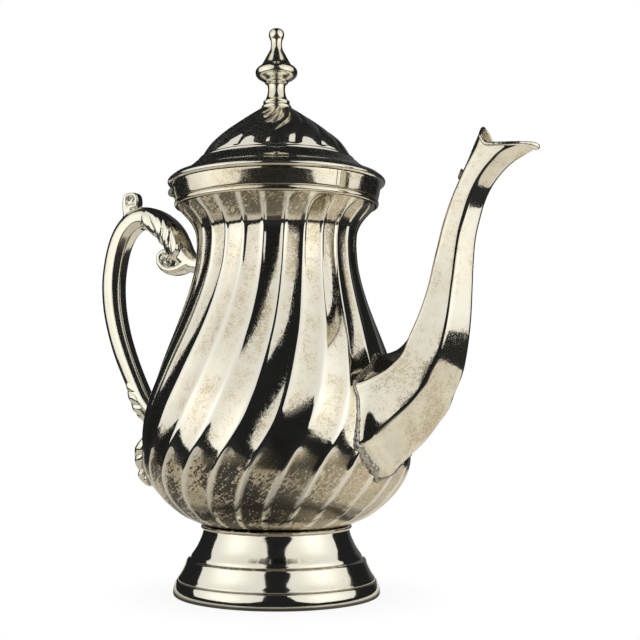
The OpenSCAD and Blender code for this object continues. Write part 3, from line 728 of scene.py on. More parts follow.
LID_RIM = [
    [42.9, 176.7], [44.8, 176.68], [46.2, 176.75], [46.9, 177.1], [47.2, 177.75],
    [47.12, 178.35], [46.6, 178.95], [45.9, 179.5], [45.2, 179.95], [44.9, 180.3],
    [44.3, 180.55], [43.2, 180.95], [41.2, 181.8], [39.2, 182.9], [37.3, 184.25], [35.8, 185.6],
    [34.9, 186.35], [34.3, 186.75], [34.0, 186.95], [33.95, 187.3], [33.75, 187.75],
    [33.3, 188.1], [32.9, 188.2], [32.4, 188.15], [31.2, 188.1], [31.2, 187.3], [32.7, 187.1],
    [33.4, 186.2], [34.7, 185.0], [36.5, 183.4], [38.6, 181.9], [40.8, 180.7], [42.3, 180.0],
    [42.9, 179.2]]
FINIAL = [
    [6.6, 210.5], [6.62, 210.9], [6.5, 211.4], [6.05, 212.0], [5.7, 212.25], [5.65, 212.55],
    [5.85, 213.0], [5.8, 213.5], [5.35, 213.95], [4.75, 214.5], [4.3, 215.6], [3.95, 216.9],
    [3.75, 218.4], [3.75, 219.6], [3.95, 220.6], [4.3, 221.2], [4.9, 221.5], [5.2, 221.9],
    [5.3, 222.4], [6.3, 223.0], [7.7, 223.7], [8.7, 224.6], [9.1, 225.6], [9.15, 226.5],
    [9.0, 227.2], [8.6, 227.75], [8.3, 228.0], [8.1, 228.3], [7.2, 228.85], [6.5, 229.5],
    [5.9, 230.4], [5.3, 231.5], [4.7, 232.6], [4.0, 233.9], [3.3, 235.1], [2.7, 236.3],
    [2.45, 237.6], [2.4, 239.0], [2.6, 240.3], [3.05, 241.2], [3.4, 242.3], [3.35, 243.5],
    [2.85, 244.5], [1.8, 245.2], [0.6, 245.4]]
SEAM_AZIMUTH = CAMERA_AZIMUTH + 33.5


def build_foot_disc():
    """thin disc that closes the foot, sunk by a hair inside the ring"""
    count = 200
    verts = np.vstack([[[0, 0, DISC_RINGS[0, 1]], [0, 0, DISC_TOP]],
                       turned(DISC_RINGS[:, :1], DISC_RINGS[:, 1], full_turn(count))])
    rings = len(DISC_RINGS)
    faces = caps(count, 2, 2 + (rings - 1) * count, 0, 1) + quads(rings, count, 2)
    make("foot_base_disc", verts, faces, SPUN_SILVER, node="foot_base_ring", slot="silver_spun")


def build_collar():
    """collar band with its butt seam, a groove with a slight ridge beside it"""
    segments = 720
    p = cut_corners(COLLAR, closed=True)
    angles = full_turn(segments)
    off_seam = np.angle(np.exp(1j * (angles - np.radians(SEAM_AZIMUTH))))
    groove = (0.16 * np.exp(-(off_seam / 0.006) ** 2)
              - 0.05 * np.exp(-((off_seam - 0.022) / 0.012) ** 2))
    outside = p[:, :1] > 43.6
    make("neck_collar_band", turned(p[:, :1] - np.where(outside, groove, 0), p[:, 1], angles),
         quads(len(p), segments, closed=True), COLLAR_SILVER, "pot", "neck_collar",
         "silver_spun", sharp=60)


def build_finial():
    segments = 96
    p = cut_corners(FINIAL, rounds=2)
    verts = turned(p[:, :1], p[:, 1], full_turn(segments))
    count = len(verts)
    faces = quads(len(p), segments)
    faces += caps(segments, 0, count - segments, count, count + 1)
    verts = np.vstack([verts, [[0, 0, FINIAL[0][1]], [0, 0, FINIAL[-1][1]]]])
    make("finial_cast", verts, faces, FINIAL_SILVER, "lid", "finial", "silver_cast", sharp=55)


# ------------------------------------------------------------------ lid dome
# z, radius
DOME = np.array([
    [188.2, 32.5], [189.2, 32.2], [190.9, 31.2], [192.8, 29.9], [194.8, 28.2], [196.6, 26.3],
    [198.4, 24.2], [200.1, 22.0], [201.9, 19.5], [203.7, 17.0], [205.4, 14.6], [207.1, 12.1],
    [208.7, 9.6], [209.9, 7.7], [210.5, 6.7]])
# z, degrees by which the lobes have turned
DOME_TURN = np.array([
    [187, 0], [188, 0], [190.5, 0.4], [193, 2], [195.5, 5.5], [198, 10.5], [200, 15.5],
    [202, 21], [204, 26.5], [206, 32], [208, 38], [210.5, 45]])
LOBES = 16
LOBE_COLUMNS = 26
DOME_COLUMNS = LOBES * LOBE_COLUMNS
LOBE_START = 88.9           # degrees
DOME_STEPS = 6
DOME_WALL = 0.9
DOME_HOLE_RADIUS = 2.15
dome_column = np.arange(DOME_COLUMNS)


def dome_skin(rows, inset):
    t = 2 * (dome_column % LOBE_COLUMNS) / LOBE_COLUMNS - 1
    normal_z, normal_r = profile_normal(rows)
    z = rows[:, :1]
    turned_by = curve(DOME_TURN[:, 1],
                      np.interp(z, DOME_TURN[:, 0], np.arange(len(DOME_TURN))))
    angle = np.radians(360 * dome_column / DOME_COLUMNS + turned_by + LOBE_START)
    # each lobe swells and drops to a rounded seam; one flank is steeper, as if lapped
    u = np.abs(t)[None, :]
    seam, power = 0.95, 3.2
    past = u - seam
    fall = np.where(u < seam, u ** power, seam ** power + power * seam ** (power - 1)
                    * (past - past ** 2 / (2 * (1 - seam))))
    lap = 0.22 * t[None, :] * (1 - u ** 2)
    depth = 0.62 * ease((z - 188.2) / 1.6) * ease((210.9 - z) / 6.5)
    sunk = depth * (fall + lap) + inset
    return turned_from_back(rows[:, 1:] - sunk * normal_r, angle, z - sunk * normal_z)


def build_dome():
    profile = curve(DOME, np.linspace(0, len(DOME) - 1, DOME_STEPS * (len(DOME) - 1) + 1))
    top = DOME[-1, 0]
    top_inside = top - DOME_WALL
    outer = dome_skin(profile, 0)
    inner = dome_skin(profile[::DOME_STEPS], DOME_WALL)
    inner[-1, :, 2] = np.minimum(inner[-1, :, 2], top_inside)
    angle = 2 * np.pi * dome_column / DOME_COLUMNS + math.radians(LOBE_START + DOME_TURN[-1, 1])
    hole = [turned_from_back(DOME_HOLE_RADIUS, angle, z) for z in (top, top_inside)]
    rings = [*outer, *hole, *inner[::-1]]
    make("lid_dome_lobed", np.vstack(rings), quads(len(rings), DOME_COLUMNS, closed=True),
         LID_SILVER, "lid", "lid_dome", "silver_body", sharp=70)


# ------------------------------------------------------------------ spout
# one section a row: reach and z of the back ridge, reach and z of the front ridge, half
# width, half width of the front ridge, lean of the front ridge to -Y, widening
SPOUT = np.array([
    [38, 103.2, 42, 52.2, 21.6, 2.4, 9, 4.3],
    [47, 103.2, 55, 52.6, 21.6, 2.4, 9, 4.3],
    [51.5, 103.4, 61, 58.0, 21.1, 2.2, 7, 1.3],
    [56.2, 104.6, 69.7, 66.9, 19.4, 2.1, 3.5, 1.2],
    [59.5, 106.7, 74.6, 73.8, 18.0, 1.6, 1.2, 0.9],
    [62.6, 110.3, 79.0, 79.7, 16.7, 1.2, 0.3, 0.5],
    [65.4, 115.6, 81.9, 86.8, 15.3, 0.9, 0, 0.2],
    [68.0, 121.8, 85.4, 94.8, 13.8, 0.8, 0, 0],
    [70.3, 128.2, 87.5, 105.0, 12.4, 0.8, 0, 0],
    [72.1, 134.8, 88.8, 116.0, 11.0, 0.8, 0, 0],
    [73.3, 140.6, 89.4, 127.6, 9.6, 0.8, 0, 0],
    [74.9, 146.4, 89.9, 138.6, 8.6, 0.8, 0, 0],
    [76.8, 153.4, 90.8, 148.0, 8.0, 0.8, 0, 0],
    [79.0, 160.0, 92.6, 155.6, 7.6, 0.8, 0, 0],
    [81.4, 165.8, 94.6, 162.0, 7.4, 0.8, 0, 0],
    [83.7, 170.8, 97.4, 167.6, 7.3, 0.8, 0, 0],
    [85.5, 175.0, 101.2, 172.4, 7.3, 0.8, 0, 0],
    [87.4, 179.0, 105.6, 176.2, 7.4, 0.8, 0, 0],
    [89.8, 184.6, 110.2, 178.7, 7.4, 0.8, 0, 0]])
# half outlines of the mouth: place round the section (0 back ridge .. 4 front ridge), x, y, z
LIP_OUTER = np.array([
    [0, 93.5, 0, 191.5], [0.3, 93.7, 2.0, 190.7], [0.7, 94.2, 4.8, 188.9],
    [0.95, 94.7, 6.7, 187.1], [1.1, 95.6, 7.5, 185.4], [1.22, 96.9, 8.0, 183.8],
    [1.33, 98.6, 8.2, 182.9], [1.6, 105.0, 7.3, 182.5], [1.85, 109.8, 5.8, 182.4],
    [2.0, 112.4, 4.3, 182.3], [2.5, 114.6, 2.7, 182.0], [3.0, 115.9, 1.2, 181.5],
    [4.0, 116.2, 0, 181.1]])
LIP_INNER = np.array([
    [0, 94.6, 0, 190.5], [0.3, 94.8, 1.6, 189.8], [0.7, 95.3, 4.0, 188.0],
    [0.95, 95.8, 5.7, 186.4], [1.1, 96.6, 6.4, 184.9], [1.22, 97.7, 6.9, 183.7],
    [1.33, 99.2, 7.0, 183.2], [1.6, 104.9, 6.2, 182.8], [1.85, 109.3, 4.8, 182.7],
    [2.0, 111.7, 3.3, 182.6], [2.5, 113.5, 1.9, 182.3], [3.0, 114.5, 0.8, 182.0],
    [4.0, 114.8, 0, 181.8]])
SPOUT_WALL = 1.2
SPOUT_CORNER = 1.7          # reach of the rounding at each corner
SPOUT_ROWS = 150


def half_section(station, inset, side):
    """rows (place round the section, x, y, z) of half a five-cornered section, rounded"""
    back, front = station[:2], station[2:4]
    width, ridge, lean, widening = station[4:]
    length = np.linalg.norm(front - back)
    start, end = inset * 1.18, length - inset * 1.15
    lower = 0.72 if ridge > 2 else 0.75
    upper = 0.25 - 0.04 * ease((1.2 - ridge) / 0.4)
    ridge = min(ridge, width * 0.62)
    ridge_in = max(ridge - inset * 0.55, ridge * 0.45)
    # corners: along the section, across it
    corners = np.array([[start, 0], [start + (end - start) * upper, width - inset],
                        [start + (end - start) * lower, width - inset], [end, ridge_in],
                        [end, 0]])

    def rounded(k, t):
        corner, after = corners[k], corners[k + 1]
        before = corners[k - 1] if k > 0 else corners[1] * [1, -1]
        to_before = np.linalg.norm(corner - before)
        to_after = np.linalg.norm(after - corner)
        cut_before = min(SPOUT_CORNER, to_before * 0.45) / to_before
        cut_after = min(SPOUT_CORNER, to_after * 0.45) / to_after
        a = corner + (before - corner) * cut_before
        b = corner + (after - corner) * cut_after
        t = t[:, None]
        place = k - (1 - t) ** 2 * cut_before + t * t * cut_after
        return np.hstack([place, (1 - t) ** 2 * a + 2 * t * (1 - t) * corner + t * t * b])

    rows = [rounded(0, np.linspace(0.5, 1, 4))]
    for k in (1, 2, 3):
        bend = rounded(k, np.linspace(0, 1, 7))
        last = rows[-1][-1]
        rows += [last + (bend[0] - last) * np.array([[0.2], [0.4], [0.6], [0.8]]), bend]
    last = rows[-1][-1]
    rows.append(last + (np.array([4, end, 0]) - last) * np.array([[0.5], [1.0]]))
    rows = np.vstack(rows)
    rows[0, 0] = rows[0, 2] = 0
    place, along, across = rows.T
    across = across + (widening * np.clip((place - 1.25) / 0.75, 0, 1)
                       * (1 - np.clip((place - 2) / 1.6, 0, 1)))
    across = across - side * np.clip(place - 2, 0, 1) * lean
    unit = (front - back) / length
    return np.stack([place, back[0] + unit[0] * along, across, back[1] + unit[1] * along], -1)


def spout_skin(inset, lip, side):
    """rows of one half's skin, from the body's wall to the mouth; y is positive on both sides"""
    sections = np.array([half_section(station, inset, side) for station in SPOUT])
    place = sections[-1][:, 0]
    mouth = np.stack([np.interp(place, lip[:, 0], lip[:, k]) for k in (1, 2, 3)], -1)
    stations = np.concatenate([sections[:, :, 1:], mouth[None]], 0)
    end = len(stations) - 1
    trial = np.linspace(0, end, 1200)
    lines = []
    for j in range(stations.shape[1]):
        x, y, z = curve(stations[:, j], trial).T
        outside = np.hypot(x, y) > body_radius(azimuth(x, side * y), z) - 0.25
        start = trial[int(np.argmax(outside))]
        lines.append(curve(stations[:, j],
                           start + (end - start) * np.linspace(0, 1, SPOUT_ROWS)))
    return np.array(lines).transpose(1, 0, 2)


def build_spout_half(side, name):
    """one half of the spout (side 1 is +Y); returns its root line on the outer skin"""
    outer = spout_skin(0.0, LIP_OUTER, side)
    inner = spout_skin(SPOUT_WALL, LIP_INNER, side)
    outer[:, 0, 1] = inner[:, 0, 1] = 0.0
    # faint waves on the facets, none at the ridges, root and mouth
    rows, columns = outer.shape[:2]
    waves = 0.16 * noise(outer[:, :, 2] * 0.09 + 3, outer[:, :, 1] * 0.12 + 40 + side, 5)
    along = np.linspace(0, 1, rows)
    mask = (np.clip(outer[:, :, 1] / 3.0, 0, 1) * ease(along / 0.08)[:, None]
            * ease((1 - along) / 0.06)[:, None])
    mask[:, -12:] *= np.linspace(1, 0, 12)
    outer[:, :, 1] += waves * mask
    outer, inner = outer * [1, side, 1], inner * [1, side, 1]
    count = rows * columns
    flip = side > 0
    faces = quads(rows, columns, 0, flip=flip, wrap=False)
    faces += quads(rows, columns, count, flip=not flip, wrap=False)
    # strips that join the two skins along their four edges
    grid = np.arange(count).reshape(rows, columns)
    for edge, forward in ((grid[:, 0], not flip), (grid[:, -1], flip),
                          (grid[0], flip), (grid[-1], not flip)):
        a, b = edge[:-1], edge[1:]
        strip = [a, b, count + b, count + a]
        faces += np.stack(strip if forward else strip[::-1], -1).tolist()
    half = make("spout_shell_" + name, np.vstack([outer.reshape(-1, 3), inner.reshape(-1, 3)]),
                faces, SPOUT_SILVER, node="spout_half_" + name, slot="silver_body")
    skin_faces = (rows - 1) * (columns - 1)
    second_material(half, INSIDE_SILVER, skin_faces, skin_faces)
    mark_sharp(half.data, 0.25, outward=True)
    return outer[0]


def build_root_solder(left_root, right_root):
    """solder in the corner between spout and body, wider low down"""
    root, along = resample_loop(np.vstack([left_root, right_root[-2:0:-1]]), 420)
    z = root[:, 2]
    low = ease((82 - z) / 22)
    # under the spout the bead thins, except far out on the -Y side
    under = ease((64 - z) / 8) * ease((root[:, 1] + 12.5) / 2.5)
    radius = ((0.55 + 0.95 * low) * (1 - 0.72 * under) * (1 - 0.4 * ease((57 - z) / 4))
              + 0.16 * noise(along * 0.23, 2.5, 8))
    # off the spout's face, then onto the body
    outward = root - np.array([60, 0, 80.0])
    outward[:, 0] = 0
    outward /= np.linalg.norm(outward, axis=1)[:, None]
    path = root + outward * (0.35 + 0.3 * low * (1 - under))[:, None]
    skin = body_radius(azimuth(path[:, 0], path[:, 1]), path[:, 2])
    path[:, :2] *= ((skin + 0.10) / np.hypot(path[:, 0], path[:, 1]))[:, None]
    bead("spout_solder_line", path, radius, SOLDER, "spout_root_solder", "solder", sides=16,
         squash=(0.75, 1.35), seed=3, lump=0.35)


def build_lip():
    """rolled edge round the mouth, thicker at the tip"""
    half = curve((LIP_INNER[:, 1:] + LIP_OUTER[:, 1:]) / 2,
                 np.linspace(0, len(LIP_INNER) - 1, 90))
    path, _ = resample_loop(np.vstack([half, (half * [1, -1, 1])[-2:0:-1]]), 260)
    path[:, 2] -= 0.15
    radius = 0.82 + 0.45 * np.exp(-((path[:, 0] - 115.5) / 2.2) ** 2)
    bead("spout_lip_bead", path, radius, FINIAL_SILVER, seed=2, lump=0.05, up=(0, 0, 1))


def build_ridge_nub():
    """nub of solder on the spout's back ridge"""
    verts, faces = unit_sphere(bmesh.ops.create_icosphere, subdivisions=4)
    x, y, z = verts.T
    swell = 1 + 0.16 * np.sin(3.1 * x + 4.0 * z) + 0.10 * np.sin(6.3 * y + 2 * z)
    verts = np.stack([84.75 + 0.8 * x * swell + 0.714 * z, 1.3 * y * swell,
                      174.0 + 1.9 * z * swell], -1)
    make("spout_ridge_nub", verts, faces, SOLDER, node="spout_ridge_solder", slot="solder")


# ------------------------------------------------------------------ handle
# all paths: reach toward -X, z, half thickness in the handle's plane, half width across it
BAR = np.array([
    [34, 144.6, 3.5, 3.6], [40, 144.9, 3.5, 3.6], [44.6, 146.2, 4.2, 4.2],
    [48.4, 149.9, 4.8, 5.0], [51.4, 154.8, 5.2, 5.6], [54.2, 159.0, 5.4, 6.0],
    [57.9, 162.9, 5.3, 6.1], [62.6, 166.2, 5.1, 5.9], [68.0, 168.2, 5.0, 5.6],
    [73.6, 168.2, 5.0, 5.3], [78.4, 165.8, 5.1, 5.2], [82.4, 161.6, 5.2, 5.2],
    [85.5, 155.5, 5.2, 5.2], [87.7, 147.3, 5.2, 5.2], [88.8, 138, 5.2, 5.2],
    [88.1, 126.8, 5.1, 5.1], [85.5, 115.4, 4.9, 5.0], [82.1, 105.7, 4.8, 4.9],
    [78.2, 97.1, 4.6, 4.8], [74.2, 89.2, 4.5, 4.8], [70.6, 82.6, 4.6, 4.8],
    [65.6, 77.0, 4.5, 4.8], [59.5, 72.8, 4.4, 4.8], [56.0, 71.2, 4.2, 4.6]])
THUMB = np.array([
    [79.4, 168.6, 2.6, 3.8], [80.2, 171.6, 1.9, 3.0], [80.9, 174.6, 1.5, 2.7],
    [81.0, 177.6, 1.35, 2.6], [80.2, 179.5, 1.1, 2.6], [77.8, 179.9, 1.0, 2.6],
    [75.3, 179.5, 1.0, 2.6], [74.4, 177.4, 0.9, 2.6], [74.4, 174.2, 0.8, 2.6]])
BAR_LEAF = np.array([
    [78.6, 96.0, 1.2, 2.6], [76.8, 90.8, 2.6, 4.4], [74.2, 85.4, 3.4, 5.2],
    [71.8, 80.0, 3.2, 4.8], [70.2, 76.2, 2.2, 3.4], [69.6, 73.4, 0.7, 1.2]])
TERMINAL_LEAF = np.array([
    [64.0, 71.0, 2.6, 4.2], [67.8, 66.0, 2.5, 4.6], [70.0, 61.0, 4.0, 5.4],
    [70.9, 56.0, 3.5, 5.0], [70.5, 51.8, 2.0, 3.4], [70.3, 49.6, 2.5, 3.9],
    [68.6, 46.6, 2.2, 3.0], [66.6, 44.4, 0.8, 1.2]])
# reach, z only
VOLUTE = np.array([
    [44.0, 146.4], [47.0, 144.9], [50.4, 143.5], [54.0, 143.1], [57.4, 144.3], [59.8, 146.9],
    [60.1, 149.9], [58.2, 151.6], [56.0, 150.6], [55.8, 148.6], [57.2, 147.9]])


def sweep(path, start, end, count, section):
    """capped sweep in the handle's plane; section(path row, position) gives (in plane, y)"""
    at = np.linspace(start, end, count)
    rows = curve(path, at)
    step = 0.02
    d = (curve(path, np.minimum(at + step, len(path) - 1))
         - curve(path, np.maximum(at - step, 0)))
    length = np.hypot(d[:, 0], d[:, 1])
    along_x, along_z = -d[:, 0] / length, d[:, 1] / length
    rings = []
    for i in range(count):
        s = section(rows[i], at[i])
        rings.append(np.stack([-rows[i, 0] + s[:, 0] * along_z[i], s[:, 1],
                               rows[i, 1] - s[:, 0] * along_x[i]], -1))
    rings = np.array(rings)
    sides = rings.shape[1]
    centre = count * sides
    verts = np.vstack([rings.reshape(-1, 3), rings[0].mean(0)[None], rings[-1].mean(0)[None]])
    return verts, quads(count, sides) + caps(sides, 0, centre - sides, centre, centre + 1)


def sizes_at(path, position):
    """half thickness and half width, straight between the rows of path"""
    rows = range(len(path))
    return np.interp(position, rows, path[:, 2]), np.interp(position, rows, path[:, 3])


def bar_section(row, position):
    """eight-cornered section with rounded corners"""
    t, w = row[2], row[3]
    chamfer, flat, rounding = 0.52, 0.42, 0.22
    corners = np.array([[t, w * chamfer], [t * flat, w], [-t * flat, w], [-t, w * chamfer],
                        [-t, -w * chamfer], [-t * flat, -w], [t * flat, -w], [t, -w * chamfer]])
    points = []
    for k in range(8):
        corner, before, after = corners[k], corners[k - 1], corners[(k + 1) % 8]
        a, b = corner + (before - corner) * rounding, corner + (after - corner) * rounding
        for s in (0, 0.33, 0.66, 1):
            points.append((1 - s) ** 2 * a + 2 * s * (1 - s) * corner + s * s * b)
        points.append(b + (after - corner) * (1 - 2 * rounding) * 0.5)
    return np.array(points)


def bow_leaf_section(row, position):
    """long overlapping lobes, slantwise from the bar's back to its inner edge"""
    angle = full_turn(120)
    rise = float(ease((8.7 - position) / 1.1) * ease((position - 2.6) / 0.8))
    c, s = np.cos(angle), np.sin(angle)
    in_plane = superellipse(c, 0.74) * (row[2] * 0.94 + 0.30 * rise)
    y = superellipse(s, 0.74) * (row[3] * 0.86 + 0.75 * rise)
    across = (1 - c) / 2        # 0 at the back of the bar, 1 at its inner edge
    side = ease((across - 0.20) / 0.16) * ease(np.abs(s) / 0.42)
    f = np.mod(0.70 * position + 2.05 * across + 0.10 * np.sin(position * 2.3), 1.0)
    lobe = np.sqrt(np.clip(1 - ((f - 0.52) / 0.52) ** 2, 0, 1))
    vein = np.exp(-((f - 0.40) / 0.055) ** 2)
    height = rise * side * (1.45 * lobe - 0.30 * vein - 0.55)
    # tips of the lobes stand out along the inner edge
    height = height + rise * 0.55 * lobe * np.exp(-((across - 0.93) / 0.10) ** 2)
    return np.stack([in_plane + c * height * 0.9, y + s * height], -1)


def volute_section(row, position):
    f = position / (len(VOLUTE) - 1)
    angle = full_turn(44)
    width = 3.9 + 1.1 * math.sin(math.pi * min(1, f * 1.3)) - 0.9 * max(0, f - 0.7) / 0.3
    thickness = 2.5 - 1.25 * f
    lobe = 0.35 * abs(math.sin(math.pi * position * 0.9)) * (1 - f)
    c, s = np.cos(angle), np.sin(angle)
    y = superellipse(s, 0.75) * (width + lobe)
    groove = 0.45 * np.exp(-(y / 0.8) ** 2) * (c > 0)
    return np.stack([superellipse(c, 0.85) * thickness - groove, y], -1)


def thumb_section(row, position):
    angle = full_turn(48)
    thickness, width = sizes_at(THUMB, position)
    return np.stack([superellipse(np.cos(angle), 0.8) * thickness,
                     superellipse(np.sin(angle), 0.45) * width], -1)


def lobed_leaf(path, count, frequency, slant, height, phase=0.0):
    """leaf with slanting lobes on its flanks"""
    def section(row, position):
        angle = full_turn(72)
        thickness, width = sizes_at(path, position)
        c, s = np.cos(angle), np.sin(angle)
        f = np.mod((position + slant * (1 - c) / 2) * frequency + phase, 1.0)
        lobe = np.sqrt(np.clip(1 - ((f - 0.5) / 0.54) ** 2, 0, 1))
        h = ease(np.abs(s) / 0.45) * height * (lobe - 0.5) * min(1.0, width / 3.0)
        return np.stack([superellipse(c, 0.8) * thickness + c * h * 0.6,
                         superellipse(s, 0.8) * width + s * h], -1)
    return sweep(path[:, :2], 0, len(path) - 1, count, section)


def blob(reach, z, sizes, power=1.0, bump=0.0):
    """superellipsoid on the handle's plane; sizes are half sizes in x, y, z"""
    verts, faces = unit_sphere(bmesh.ops.create_uvsphere, u_segments=40, v_segments=26)
    swell = 1 + bump * np.sin(5 * verts[:, 0]) * np.sin(6 * verts[:, 2] + 1.3)
    shape = superellipse(verts, power) * sizes * swell[:, None]
    return shape * [-1, 1, 1] + [-reach, 0, z], faces


def handle_parts():
    return [
        sweep(BAR, 0, len(BAR) - 1, 300, bar_section),
        # acanthus over the bow, smooth along the back
        sweep(BAR, 2.4, 9.0, 420, bow_leaf_section),
        # scroll that leaves the stub, runs under the bow and curls up; its eye and cheek
        sweep(VOLUTE, 0, len(VOLUTE) - 1, 150, volute_section),
        blob(57.6, 148.9, (1.5, 5.0, 1.5)),
        blob(57.0, 147.6, (3.0, 3.2, 3.2)),
        # thumb piece: a post and a scroll that turns toward the pot over a sunk cheek
        sweep(THUMB[:, :2], 0, len(THUMB) - 1, 90, thumb_section),
        blob(77.5, 176.4, (3.1, 1.5, 3.3), bump=0.35),
        blob(78.7, 171.8, (2.0, 2.9, 4.2), power=0.7),
        blob(77.3, 174.2, (2.9, 2.9, 1.3), power=0.7),
        # leaf on the outside of the bar's lower end, tip down
        lobed_leaf(BAR_LEAF, 150, frequency=0.95, slant=-1.1, height=1.3),
        # lower terminal, lying down the body
        lobed_leaf(TERMINAL_LEAF, 170, frequency=0.62, slant=0.9, height=1.1, phase=0.2)]


def build_handle():
    verts, faces, base = [], [], 0
    for part_verts, part_faces in handle_parts():
        verts.append(part_verts)
        faces += [[i + base for i in face] for face in part_faces]
        base += len(part_verts)
    handle = make("handle_casting", np.vstack(verts), faces, CAST_SILVER, node="handle",
                  slot="silver_cast")
    # one skin: the overlapping parts are fused, then the edges softened
    fuse = handle.modifiers.new("fuse", "REMESH")
    fuse.mode = "VOXEL"
    fuse.voxel_size = 0.00034 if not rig.quick() else 0.0006
    fuse.use_smooth_shade = True
    soften = handle.modifiers.new("soft", "SMOOTH")
    soften.factor = 0.5
    soften.iterations = 3
    fused = evaluated_mesh(handle)
    handle.modifiers.clear()
    loose = handle.data
    handle.data = fused
    if not fused.materials:     # the remesh may drop the material
        fused.materials.append(CAST_SILVER)
    bpy.data.meshes.remove(loose)
    trim_inside_body(fused)


def trim_inside_body(mesh):
    """removes what lies deep in the body's wall and closes the holes"""
    bm = bmesh.new()
    bm.from_mesh(mesh)
    x, y, z = (np.array([v.co for v in bm.verts]) / MM).T
    buried = (np.hypot(x, y) < body_radius(azimuth(x, y), z) - 0.7) & (z > 31)
    bmesh.ops.delete(bm, geom=[v for v, inside in zip(bm.verts, buried) if inside],
                     context="VERTS")
    bmesh.ops.holes_fill(bm, edges=[e for e in bm.edges if e.is_boundary], sides=0)
    bm.to_mesh(mesh)
    bm.free()
    mesh.shade_smooth()


def build_handle_solder(node, centre_z, half_y, half_z, radius):
    """bead on the body's skin round one end of the handle"""
    angle = full_turn(120)
    y = half_y * np.cos(angle)
    z = centre_z + half_z * np.sin(angle)
    skin = np.full(len(angle), 60.0)
    for _ in range(12):         # settles on the radius at this y
        x = -np.sqrt(np.maximum(skin ** 2 - y ** 2, 1))
        skin = body_radius(azimuth(x, y), z) + 0.12
    path = np.stack([-np.sqrt(skin ** 2 - y ** 2), y, z], -1)
    bead(node + "_bead", path, radius * (1 + 0.25 * noise(angle * 2.5, 1.0, 4)), SOLDER, node,
         "solder", sides=12, squash=(0.9, 1.2), seed=5, lump=0.3)


def build_foot_solder():
    angle = full_turn(360)
    radius = 31.9 + 0.10 * np.sin(angle * 5 + 1) + 0.06 * np.sin(angle * 13)
    path = np.stack([radius * np.cos(angle), radius * np.sin(angle), 29.35 + 0 * angle], -1)
    bead("foot_solder_bead", path, 0.85, COLLAR_SILVER, "foot_solder", "solder",
         squash=(1.0, 0.9), seed=9, lump=0.10)


# ------------------------------------------------------------------ CAD pieces that stay
CAD_FINISHES = {"hinge_body_leaf": HINGE_METAL, "hinge_lid_leaf": HINGE_METAL,
                "hinge_pin": HINGE_METAL, "lid_bezel": COLLAR_SILVER, "finial_stud": BRASS,
                "finial_washer": BRASS, "finial_nut": BRASS}


def finish_cad_pieces():
    for node, material in CAD_FINISHES.items():
        for slot in frame["nodes"][node].material_slots:
            slot.link = "OBJECT"
            slot.material = material


# ------------------------------------------------------------------ floor, in metres
FLOOR_RINGS = (0.3, 1.2, 5.0)
# brightness of the mirrored floor near the foot, rings of painted shadow of the pot: tenths of a metre from the axis,
# grey
FOOT_SHADOW_RINGS = [
    (0.0, 0.14), (0.512, 0.14), (0.522, 0.8), (0.530, 0.8), (0.545, 0.22), (0.560, 0.5),
    (0.568, 0.16), (0.584, 0.9), (1.0, 1.0)]


def mirrored_floor(graph, object_position, position, distance):
    """the floor as the metal mirrors it: a warm grey table that ends 0.38 m out,
    darker toward the camera with painted shade, darker under the foot with a painted shadow of the pot, lighter to the
    camera's right with painted light"""
    multiply = graph.multiply
    x, y, _ = graph.node("SeparateXYZ", {0: position}).outputs

    def facing(direction):
        """cosine between a floor point's bearing and a direction"""
        dot = graph.add(multiply(x, direction[0]), multiply(y, direction[1]))
        return graph.math("DIVIDE", dot, graph.math("MAXIMUM", distance, 0.001))

    # painted shade on the table toward the camera, far out
    camera_side_shade = graph.map_range(facing(TOWARD_CAMERA), 0.90, 0.955, kind="SMOOTHSTEP")
    darkening = graph.map_range(distance, 0.17, 0.24, 0.30, 0.90, kind="SMOOTHSTEP")
    # painted shadow of the pot on the table near the foot
    pot_shadow = graph.map_range(distance, 0.045, 0.10, 0.80, 1.0)
    middle_level, side_change = 0.86, 0.14
    # painted light: the table brighter to the camera's right
    right_side_light = graph.add(middle_level, multiply(facing(CAMERA_RIGHT), side_change))
    grain = graph.noise(object_position, scale=22.0, detail=6.0, roughness=0.62)
    grain_floor, grain_gain, level = 0.62, 0.76, 0.83
    mottle = graph.add(grain_floor, multiply(grain, grain_gain))
    rings = graph.ramp(multiply(distance, 10.0), [(at, (v, v, v)) for at, v in FOOT_SHADOW_RINGS])
    strength = multiply(graph.subtract(1.0, multiply(camera_side_shade, darkening)), pot_shadow)
    strength = multiply(strength, rings)
    strength = multiply(multiply(strength, right_side_light), multiply(mottle, level))
    glow = graph.emission((1.0, 0.953, 0.83), strength)
    beyond_edge = graph.map_range(distance, 0.375, 0.385)
    return graph.mix_shader(beyond_edge, glow, graph.node("BsdfTransparent").outputs[0])


